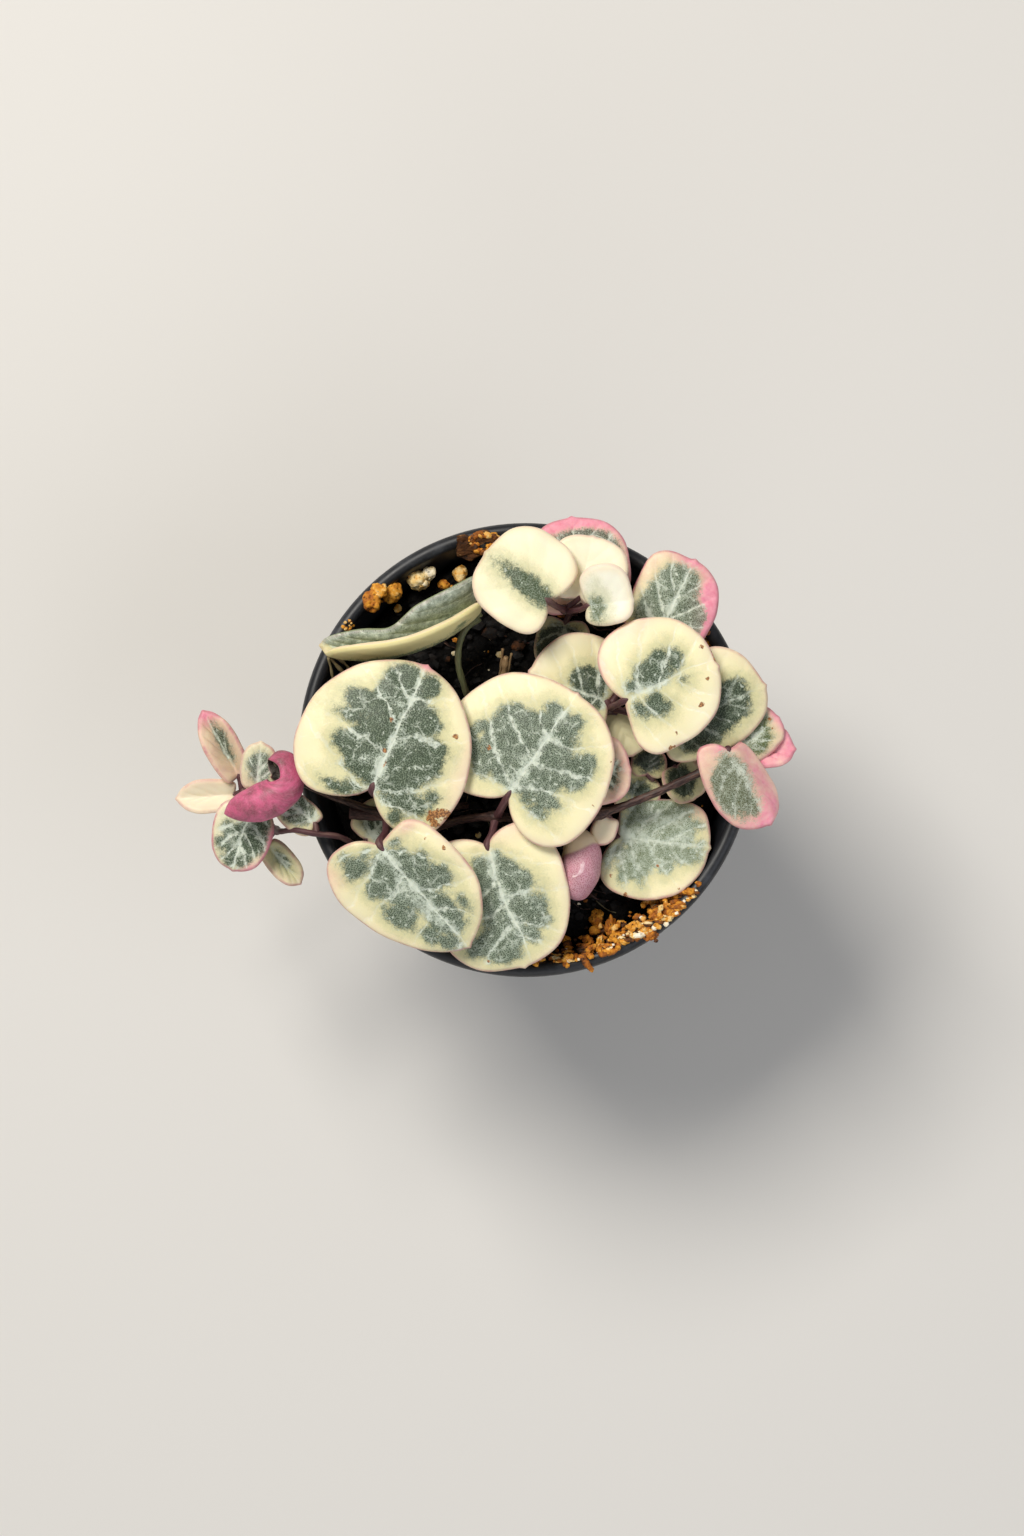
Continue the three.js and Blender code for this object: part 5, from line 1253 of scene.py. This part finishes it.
                       (((0, -0.02), (0.35, -0.08), (0.6, -0.07)), ((0, 0.0), (0.3, 0.0), (0.84, 0.3)),
                        ((0, 0.42), (0.3, 0.45), (0.78, 0.6)), ((0, 0.72), (0.15, 0.75), (0.4, 0.86)))),
                stain=[(8.4, -0.4, 1.2, 1.0, 1.0), (9.4, 0.8, 1.1, 0.5, 1.1),
                       (-0.4, 4.9, 0.4, 0.35, 0.9), (-1.2, 8.6, 0.35, 0.35, 0.8),
                       (6.8, 9.9, 0.4, 0.3, 1.2), (0.3, 3.4, 0.3, 0.9, 0.5)],
                blush=[(0.2, 16.5, 1.2, 0.7, 0.9), (9.4, 6.5, 1.2, 6.0, 0.14)]),
            leaf("leaf_lower_left", (-17.9, -12.3, 61.0), -49, 16.7, (6.9, 0.5, 0.42, 0.62, 0, -0.01),
                (8.7, 2.9, 0.16, 0.45, 0, -0.01), [(-17.4, -8.6, 54.2), (-17.3, -10.6, 57.8)], 0.62,
                tip=0.35, pitch=-8, roll=13, bow=0.004, wave=0.3, silver=1.4,
                patch=[(0.6, 4.8, 4.4, 5.8), (-0.4, 11.6, 3.2, 4.6), (3.4, 0.4, 2.2, 1.8)],
                isles=[(0.8, 15.0, 0.9, 1.2), (-0.6, 13.8, 0.8, 1.0), (1.9, 14.0, 1.0, 1.4),
                       (-3.2, 12.0, 0.7, 1.5), (-1.7, 12.6, 0.8, 1.4), (-1.2, 10.2, 1.1, 1.9),
                       (2.7, 12.5, 1.0, 1.6), (3.5, 8.6, 1.7, 2.2), (4.6, 7.3, 0.9, 1.5),
                       (-3.1, 7.4, 1.6, 2.1), (-1.3, 6.2, 1.2, 2.6), (-2.6, 4.6, 1.3, 1.4),
                       (-0.9, 3.0, 0.9, 1.6), (3.7, 3.8, 1.6, 1.5), (1.9, 3.0, 0.9, 1.2),
                       (4.3, 0.3, 1.6, 1.5), (4.6, -1.3, 1.0, 0.8), (2.4, -0.3, 1.2, 0.6),
                       (-1.6, 0.9, 1.0, 0.5)],
                veins=((((0, 0.05), (0.35, 0.14), (0.78, 0.46)), ((0, 0.44), (0.25, 0.52), (0.78, 0.6)),
                        ((0, 0.62), (0.3, 0.68), (0.42, 0.82))),
                       (((0, 0.0), (0.3, -0.04), (0.6, -0.12)), ((0, 0.02), (0.25, 0.08), (0.68, 0.16)),
                        ((0, 0.3), (0.3, 0.35), (0.66, 0.36)), ((0, 0.6), (0.2, 0.65), (0.5, 0.7)))),
                blush=[(-4.5, 0.2, 1.8, 0.9, 0.35), (7.4, -0.6, 1.6, 1.6, 0.25)],
                stain=[(-5.9, 5.2, 0.25, 0.3, 1.2), (-4.9, 3.0, 0.2, 0.2, 1.0)]),
            leaf("leaf_curled_pink", (-29.4, -4.2, 55.6), -42, 5.4, (), (),
                [(-32.3, -3.4, 53.5), (-30.6, -4.0, 54.2)], 0.5,
                route=[(-37.4, -8.3, 55.4), (-35.9, -7.7, 55.6), (-34.2, -7.2, 55.8),
                       (-31.7, -6.4, 56.1), (-30.2, -5.3, 56.2), (-29.8, -3.7, 56.3),
                       (-30.4, -2.3, 56.3), (-31.9, -1.6, 56.2)],
                plump=(0.5, 1.65, 2.2, 2.4, 2.35, 2.25, 2.1, 1.8), silver=0.1, pink=0.95, pale=0.05,
                patch=[(2.0, 9.0, 1.3, 1.7)], twist=((0.0, 0.5, 0.74, 1.0), (0, 0, 112, 130))),
            leaf("leaf_hanging_marbled", (-34.6, -7.6, 50.6), -106, 7.9, (3.8, 0.4, 0.35, 0.72, 8, 0),
                (4.0, 0.8, 0.27, 0.65, 4, 0), [(-32.6, -3.3, 53.2), (-33.9, -5.6, 51.6)], 0.42, tip=0.1,
                thick=1.1, pitch=-4, wave=0.15, pale=0.75, silver=0.3, rim=1.0,
                patch=[(-0.2, 3.9, 3.5, 3.9), (-2.0, 1.4, 1.6, 1.6)],
                isles=[(-2.2, 3.6, 1.3, 1.5), (-1.0, 5.8, 1.3, 1.4), (0.5, 6.5, 1.2, 1.2),
                       (1.8, 3.0, 1.0, 1.4), (-2.7, 1.3, 0.9, 1.1), (0.7, 4.2, 0.6, 1.5),
                       (2.4, 4.8, 0.8, 1.0)],
                blush=[(-4.0, 3.0, 0.9, 3.4, 1.4), (-2.6, 7.2, 1.4, 0.9, 1.0)]),
            leaf("leaf_small_behind", (-33.5, -4.8, 54.3), 84, 5.6, (2.3, 0.4, 0.42, 0.8, 8, 0), 2.4,
                [(-32.8, -3.6, 53.2), (-33.6, -4.6, 53.2)], 0.4, tip=0.4, thick=1.0, pitch=6,
                silver=2.0, pale=0.7, patch=[(0.2, 2.4, 1.9, 2.2)]),
        ]),
    "trailing": dict(
        stem=[(-20.6, -12.9, 44.3), (-20.6, -12.9, 47.5), (-21.5, -12.0, 50.4), (-23.4, -11.0, 53.2),
              (-26.2, -10.7, 54.1), (-28.8, -10.2, 53.7), (-30.6, -10.3, 51.4), (-31.6, -9.9, 48.4),
              (-33.6, -7.4, 44.6), (-36.2, -4.8, 42.4)],
        width=0.45, tint=0.8, joints=[(-36.2, -4.8, 42.4), (-31.4, -10.0, 49.2)],
        leaves=[
            leaf("leaf_by_trailing_foot", (-20.0, -11.3, 49.7), 45, 5.6, (3.6, 0.4, 0.42, 0.8, 0, 0),
                3.7, [(-20.8, -12.6, 48.9)], 0.38, tip=0.2, thick=1.0, patch=[(0, 2.8, 2.7, 2.3)],
                silver=0.5),
            leaf("leaf_over_lip", (-26.3, -9.4, 53.7), 142, 5.8, (2.6, 0.4, 0.42, 0.8, 0, -0.02), 1.9,
                [(-26.0, -10.6, 54.0)], 0.38, tip=0.4, thick=0.9, pitch=-3, silver=1.0,
                patch=[(0, 2.6, 2.0, 2.6)]),
            leaf("leaf_trailing_upper", (-36.6, -2.9, 42.8), 119, 9.4, (2.9, 0.3, 0.45, 0.62, 42, 0),
                (2.9, 0.3, 0.5, 0.62, 42, 0), [(-36.2, -4.6, 42.5)], 0.4, tip=0.4, thick=1.0, pitch=8,
                pink=0.3, pale=0.3, silver=0.8, rim=1.0, ribs=0.5, patch=[(0.6, 4.6, 1.3, 3.2)],
                blush=[(0, 9.4, 2.4, 1.6, 0.9)]),
            leaf("leaf_trailing_outer", (-37.2, -5.3, 42.0), 184, 7.4, (2.6, 0.3, 0.5, 0.62, 36, 0),
                2.6, [(-36.3, -5.0, 42.3)], 0.4, tip=0.4, thick=1.0, pitch=2, pink=0.1, pale=0.5,
                rim=0.4, ribs=0.3, relief=0.5),
            leaf("leaf_trailing_lower", (-32.6, -12.0, 46.6), -49, 6.3, (2.1, 0.3, 0.38, 0.8, 30, 0),
                (2.1, 0.3, 0.45, 0.8, 30, 0), [(-31.4, -10.0, 49.2), (-32.2, -10.9, 47.7)], 0.38,
                tip=0.4, thick=1.0, pitch=-6, silver=0.5, patch=[(-0.4, 2.4, 1.0, 1.6)]),
        ]),
    "top": dict(
        stem=[(6.2, 17.4, 44.3), (6.2, 17.4, 47.5), (6.0, 17.3, 50.8), (5.2, 17.1, 54.2),
              (4.7, 17.0, 57.4)],
        width=0.5, tint=0.5, joints=[(4.8, 17.0, 57.2)],
        leaves=[
            leaf("leaf_top_round", (2.5, 17.7, 62.2), 142, 9.5, (5.8, 1.6, 0.36, 0.75, 0, -0.015),
                (6.8, 1.3, 0.32, 0.85, 0, -0.015), [(4.6, 17.0, 57.6), (3.7, 17.1, 60.2)], 0.5,
                tip=-0.1, pitch=-3, roll=2, wave=0.25, pale=0.45, rim=0.3, silver=0.1, olive=0.2,
                ribs=0.05, relief=0.3, patch=[(-0.1, 4.4, 1.1, 3.4), (0.1, 1.3, 0.8, 1.6)]),
            leaf("leaf_top_back", (6.5, 18.3, 59.4), 77, 7.7, (4.5, 0.6, 0.4, 0.8, 4, 0),
                (5.2, 0.8, 0.47, 0.8, 4, 0), [(5.2, 17.2, 57.6)], 0.42, thick=1.1, pitch=4, wave=0.15,
                pale=0.6, rim=0.4, ribs=0.3, relief=0.3),
            leaf("leaf_top_white", (7.7, 17.0, 62.2), 6, 5.5, (5.2, 0.8, 0.42, 0.82, 14, 0.05),
                (2.8, 0.6, 0.4, 0.8, 8, 0.05), [(5.3, 16.8, 57.4), (6.7, 16.7, 60.2)], 0.42, thick=1.1,
                pitch=8, roll=4, pale=0.9, rim=0.2, olive=0.6, silver=0.4, ribs=0.3, relief=0.3,
                patch=[(0.6, 1.0, 2.0, 1.1)]),
            leaf("leaf_top_pink", (6.8, 17.7, 56.0), 96, 11.0, (6.0, 1.0, 0.45, 0.7, 0, -0.01),
                (6.7, 1.0, 0.42, 0.68, 0, -0.01), [(5.2, 17.2, 56.4)], 0.42, thick=1.1, pitch=1,
                bow=0.012, wave=0.25, pink=0.5, silver=0.9, rim=1.0, blush=[(0, 12.0, 7.5, 2.5, 1.6)],
                patch=[(0.6, 5.0, 5.6, 4.7)]),
            leaf("leaf_top_shaded", (4.9, 15.7, 52.4), -100, 6.2, (3.6, 0.6, 0.42, 0.8, 4, 0), 3.4,
                [(5.6, 17.1, 52.4)], 0.4, thick=1.0, pitch=-3, deep=0.6, silver=0.3,
                patch=[(0, 3.0, 3.4, 3.2)]),
        ]),
    "right": dict(
        stem=[(9.6, 1.9, 44.3), (9.6, 1.9, 47.5), (9.6, 2.6, 50.6), (9.9, 4.0, 53.6), (10.3, 4.9, 56.6)],
        width=0.5, tint=0.4, joints=[(10.3, 4.9, 56.4)],
        leaves=[
            leaf("leaf_right_top", (12.1, 5.4, 61.8), 20, 12.1, (8.8, 1.7, 0.30, 0.70, 0, -0.012),
                (7.7, 0.5, 0.18, 0.62, 0, -0.012), [(10.5, 4.9, 56.8), (11.1, 5.0, 59.4)], 0.5, pitch=3,
                roll=2, bow=0.008, wave=0.25, silver=0.5,
                rib=((0, 0), (4, -0.4), (9, -0.9), (13, -1.0)),
                patch=[(-1.8, 4.6, 2.8, 4.0), (1.6, 2.8, 2.0, 2.2)],
                isles=[(-2.6, 7.3, 1.6, 1.1), (-3.2, 5.6, 1.4, 1.4), (-2.2, 3.6, 1.6, 1.8),
                       (-1.2, 1.7, 0.9, 1.4), (0.0, 7.6, 0.6, 0.8), (1.8, 3.4, 1.7, 1.4),
                       (1.6, 1.3, 1.4, 1.0), (2.4, 4.6, 0.8, 0.7)],
                blush=[(-8.4, 2.5, 1.6, 4.0, 0.2), (-3.5, -1.6, 4.0, 0.9, 0.22)],
                stain=[(3.7, 8.5, 0.3, 0.4, 1.3), (1.0, 10.3, 0.25, 0.2, 1.1),
                       (-2.9, 11.0, 0.35, 0.3, 1.1), (5.9, 4.6, 0.3, 0.25, 1.2),
                       (-1.3, 12.1, 1.0, 0.25, 1.1), (7.4, 3.4, 0.35, 0.5, 1.0)]),
            leaf("leaf_right_inner", (10.0, 5.5, 57.0), 158, 10.3, (5.6, 0.8, 0.4, 0.7, 0, -0.01),
                (7.3, 0.8, 0.30, 0.72, 0, -0.01), [(10.3, 4.9, 56.6)], 0.5, tip=0.1, wave=0.2,
                silver=0.2, deep=0.35, patch=[(1.4, 3.0, 2.2, 2.4), (-0.4, 1.6, 0.9, 1.4)]),
            leaf("leaf_right_outer", (18.6, 2.6, 58.8), 24, 11.8, (7.2, 1.0, 0.5, 0.68, 0, -0.01),
                (5.4, 2.6, 0.30, 0.60, 0, -0.01),
                [(10.8, 4.8, 56.6), (13.6, 3.8, 57.4), (17.2, 2.4, 58.4)], 0.5, pitch=1, roll=5,
                wave=0.25, silver=0.4, deep=0.3, pale=0.3, ribs=0.45, relief=0.6,
                patch=[(0.8, 4.6, 2.6, 4.2), (-0.6, 8.0, 1.7, 1.6), (2.6, 1.8, 1.4, 2.6),
                       (-1.4, 6.0, 1.0, 1.4)]),
            leaf("leaf_right_pink", (15.6, 12.6, 57.4), 63, 11.8, (5.4, 0.3, 0.66, 0.95, 0, -0.02),
                (5.5, 0.8, 0.48, 0.6, 0, -0.02),
                [(10.6, 5.4, 56.8), (12.6, 8.6, 57.4), (14.9, 11.6, 57.4)], 0.45, pitch=-2, wave=0.3,
                silver=1.9, olive=0.2, rim=1.0,
                patch=[(-0.3, 4.0, 3.9, 4.0), (-1.0, 8.5, 2.2, 1.9), (2.6, 5.0, 2.0, 2.2),
                       (0.8, 9.4, 0.8, 1.1)],
                blush=[(3.8, 8.6, 2.2, 2.3, 1.3), (5.0, 5.4, 1.9, 3.4, 1.5), (0.2, 11.4, 3.0, 1.2, 0.9),
                       (-4.8, 9.0, 1.6, 3.6, 0.3)]),
            leaf("leaf_right_low", (11.2, 4.2, 54.4), -68, 5.6, (3.0, 0.5, 0.42, 0.8, 0, -0.01), 2.4,
                [(10.2, 4.6, 54.8)], 0.4, thick=1.0, pitch=-2, deep=0.9, ribs=0.1, pale=0.0),
        ]),
    "edge": dict(
        stem=[(-7.2, 6.4, 44.3), (-7.2, 6.4, 47.5), (-7.7, 7.8, 50.6), (-8.5, 11.0, 52.8),
              (-7.9, 14.3, 53.6), (-6.0, 16.4, 53.9)],
        width=0.5, tint=2.0, joints=[(-6.0, 16.4, 53.9)],
        leaves=[
            leaf("leaf_edge_on", (-6.6, 17.6, 54.2), 194.8, 19.7, (5.8, 1.0, 0.58, 0.72, 100, 0),
                (5.7, 1.6, 0.36, 0.05, 52, 0.028), [(-5.9, 16.3, 53.9)], 0.55, tip=0.24, thick=1.3,
                sway=-2.4, pitch=4, roll=5, dent=(1.7, 10.9, 2.9), silver=3.6, tint=2.0, pale=0.0,
                rim=0.15, patch=[(3.4, 9.0, 5.0, 12.0), (-1.4, 11.6, 1.0, 3.6), (-3.2, 2.6, 0.5, 0.9)],
                veins=(None,
                       (((0, 0.0), (0.3, 0.15), (0.6, 0.45)), ((0, 0.05), (0.25, 0.3), (0.5, 0.65)),
                        ((0, 0.2), (0.18, 0.45), (0.4, 0.8)), ((0, 0.4), (0.1, 0.6), (0.25, 0.9))))),
        ]),
    "low": dict(
        stem=[(8.6, -10.6, 44.3), (8.6, -10.6, 47.5), (9.2, -10.7, 49.4), (10.6, -10.8, 50.4)],
        width=0.42, tint=0.6, joints=[(10.4, -10.8, 50.3)],
        leaves=[
            leaf("leaf_low_big", (11.5, -11.0, 51.0), -7, 11.5, (5.6, 0.2, 0.62, 0.85, 0, -0.01),
                (7.5, 1.8, 0.27, 0.6, 0, -0.004), [(10.4, -10.8, 50.3)], 0.42, thick=1.2, pitch=3,
                roll=-6, wave=0.2, silver=2.5, olive=0.75, ribs=0.6,
                patch=[(-1.5, 5.0, 5.2, 6.2), (3.2, 2.6, 3.4, 3.2)],
                isles=[(-3.9, 1.8, 1.2, 1.6), (-4.4, 4.4, 0.9, 1.9), (-4.5, 7.5, 0.8, 1.8),
                       (-2.6, 9.4, 0.9, 1.2), (-1.3, 5.6, 0.6, 1.3), (1.3, 8.6, 1.3, 2.3),
                       (-2.0, 2.2, 0.7, 1.2), (1.4, 4.6, 1.0, 2.4), (3.8, 3.3, 2.0, 1.1),
                       (4.4, 1.3, 1.7, 1.0), (2.0, 0.8, 1.2, 1.4), (3.2, -0.8, 1.5, 0.7),
                       (2.9, 6.4, 1.2, 1.1), (0.0, 10.4, 1.0, 0.8)],
                blush=[(-4.4, 10.0, 1.6, 1.6, 0.3)],
                stain=[(5.6, 8.3, 0.25, 0.25, 1.2), (7.2, 1.8, 0.35, 0.35, 1.2),
                       (5.0, -0.2, 0.25, 0.25, 1.1), (3.1, 5.4, 0.2, 0.2, 1.1),
                       (-3.6, 8.6, 0.2, 0.2, 1.0)]),
            leaf("leaf_low_second", (13.2, -7.2, 50.1), 77, 4.6, (2.7, 0.4, 0.42, 0.8, 6, 0), 3.3,
                [(10.5, -10.6, 49.9), (11.6, -9.0, 49.7)], 0.38, thick=0.9, pitch=8, deep=0.45,
                silver=0.2, ribs=0.3, pale=0.0, patch=[(0.8, 2.4, 2.0, 1.3)]),
            leaf("leaf_low_cupped", (18.8, -2.2, 51.2), -62, 4.7, (3.5, 0.4, 0.42, 0.8, 42, 0.06),
                (3.3, 0.4, 0.42, 0.8, 36, 0.06),
                [(11.6, -8.8, 49.4), (15.0, -6.6, 49.2), (17.6, -3.6, 50.2)], 0.38, thick=0.9, pitch=-3,
                deep=0.7, ribs=0.1, patch=[(0.4, 1.8, 2.5, 2.3)]),
            leaf("leaf_low_dark", (15.2, -3.2, 52.0), 84, 3.2, (2.3, 0.4, 0.42, 0.8, 4, 0), 2.3,
                [(16.0, -3.8, 51.4)], 0.38, thick=0.9, deep=0.9, ribs=0.15, pale=0.0,
                patch=[(0, 1.6, 2.2, 1.6)]),
        ]),
}
# Slots of the vines whose leaves aren't leaf_variegated.
SLOTS = {"top": "leaf_cream", "trailing": "leaf_blush"}
OLD_STUB = [(-17.2, -8.3, 53.6), (-19.4, -8.2, 53.1), (-21.9, -8.0, 52.7)]  # cut stem at the left


def stem_width(points, width, joints, seed):
    """Radius along a stem: uneven by a few hundredths, and swollen at its joints."""
    places, run = through(points, 200)
    knots = []
    for joint in joints:
        spot = Vector(joint)
        nearest = min(range(len(places)), key=lambda i: (places[i] - spot).length)
        knots.append(run[nearest])

    def radius(s):
        swell = sum(0.62 * math.exp(-((s - k) / 1.0) ** 2) for k in knots)
        return width * (1 + swell + 0.05 * math.sin(2.3 * s + seed) + 0.03 * math.sin(6.1 * s + seed))
    return radius


def vine_pieces(name, vine, first_seed):
    """One leafy stem: a piece for each leaf, and one for its stem with all its petioles."""
    stands_for = ("leafy_stem_" + name, SLOTS.get(name, "leaf_variegated"))
    wide = stem_width(vine["stem"], SLIM * vine["width"], vine["joints"], first_seed)
    shapes = [(vine["stem"], wide, 0.3, 16, vine["tint"], first_seed)]
    for i, spec in enumerate(vine["leaves"]):
        seed = first_seed + i
        way = [*spec["stalk"], spec["at"]]
        draw = rolled_blade
        if "route" not in spec:
            draw = blade
            way.append(tuple(middle(spec, np.array([0.001]), np.array([0.1 * spec["L"]]))[0]))
        end = way_length(way)

        def stalk(s, w=SLIM * spec["width"], r=end - 0.1 * spec["L"], e=end):
            flare = 0.3 * math.exp(-(s / 0.7) ** 2) + 0.18 * math.exp(-((s - r) / 0.8) ** 2)
            return w * (1 + flare) * (1 - 0.75 * max(0, s - r) / max(0.2, e - r))
        shapes.append((way, stalk, 0.3, 12, spec["tint"], seed + 0.5))
        draw(spec, LEAF, *stands_for, seed)
    if name == "left":
        shapes.append((OLD_STUB, lambda s: 0.85 * (1 + 0.05 * math.sin(4 * s)), 0.25, 16, 0.25, 70))
    mesh_piece("stem_" + name, gathered(tube, shapes, 2), STALK, *stands_for)


pot_piece()
soil_piece()
crumb_piece()
stone_piece()
crust_piece()
fibre_piece()
bark_piece()
for order, (vine_name, vine) in enumerate(VINES.items()):
    vine_pieces(vine_name, vine, 1 + 10 * order)


# ---- floor, lights and camera ----
def floor_piece():
    bm = bmesh.new()
    bmesh.ops.create_grid(bm, x_segments=2, y_segments=2, size=1.6)
    as_object("floor", bm, floor_finish())


# Soft boxes, in metres and watts: place, height they aim at, side, power and tint.
LAMPS = {
    "key_softbox": ((-0.24, 0.30, 0.60), 0.05, 0.26, 4.3, "#fffaf2"),
    "fill_softbox": ((0.45, -0.25, 0.55), 0.05, 0.5, 1.3, "#f2f6ff"),
    "front_softbox": ((0.0, -0.7, 0.35), 0.04, 0.5, 1.0, "#ffffff"),
}
SKY_STRENGTH = 0.19


def lamp(name, place, aim, size, power, tint):
    data = bpy.data.lights.new(name, "AREA")
    data.shape = "SQUARE"
    data.size = size
    data.energy = power
    data.color = ink(tint)[:3]
    made = bpy.data.objects.new(name, data)
    made.location = place
    made.rotation_euler = (Vector((0, 0, aim)) - Vector(place)).to_track_quat("-Z", "Y").to_euler()
    bpy.context.scene.collection.objects.link(made)


floor_piece()
for lamp_name, settings in LAMPS.items():
    lamp(lamp_name, *settings)
world = bpy.data.worlds.new("studio")
world.use_nodes = True
world.node_tree.nodes["Background"].inputs["Color"].default_value = ink("#ffffff")
world.node_tree.nodes["Background"].inputs["Strength"].default_value = SKY_STRENGTH
bpy.context.scene.world = world
bpy.context.scene.view_settings.view_transform = "Standard"

# The camera looks almost straight down from 450 mm, tipped 3 degrees towards the near side.
TARGET = Vector((-1.75, -2.4, 52.0)) * MM
TILT = math.radians(87)
DISTANCE = 0.45
camera_data = bpy.data.cameras.new("camera")
camera_data.sensor_fit = "AUTO"
camera_data.sensor_width = 36
camera_data.lens = 84.375
camera_data.clip_start = 0.01
camera = bpy.data.objects.new("camera", camera_data)
camera.location = TARGET + Vector((0, -math.cos(TILT), math.sin(TILT))) * DISTANCE
camera.rotation_euler = (math.radians(90) - TILT, 0, 0)
bpy.context.scene.collection.objects.link(camera)
bpy.context.scene.camera = camera
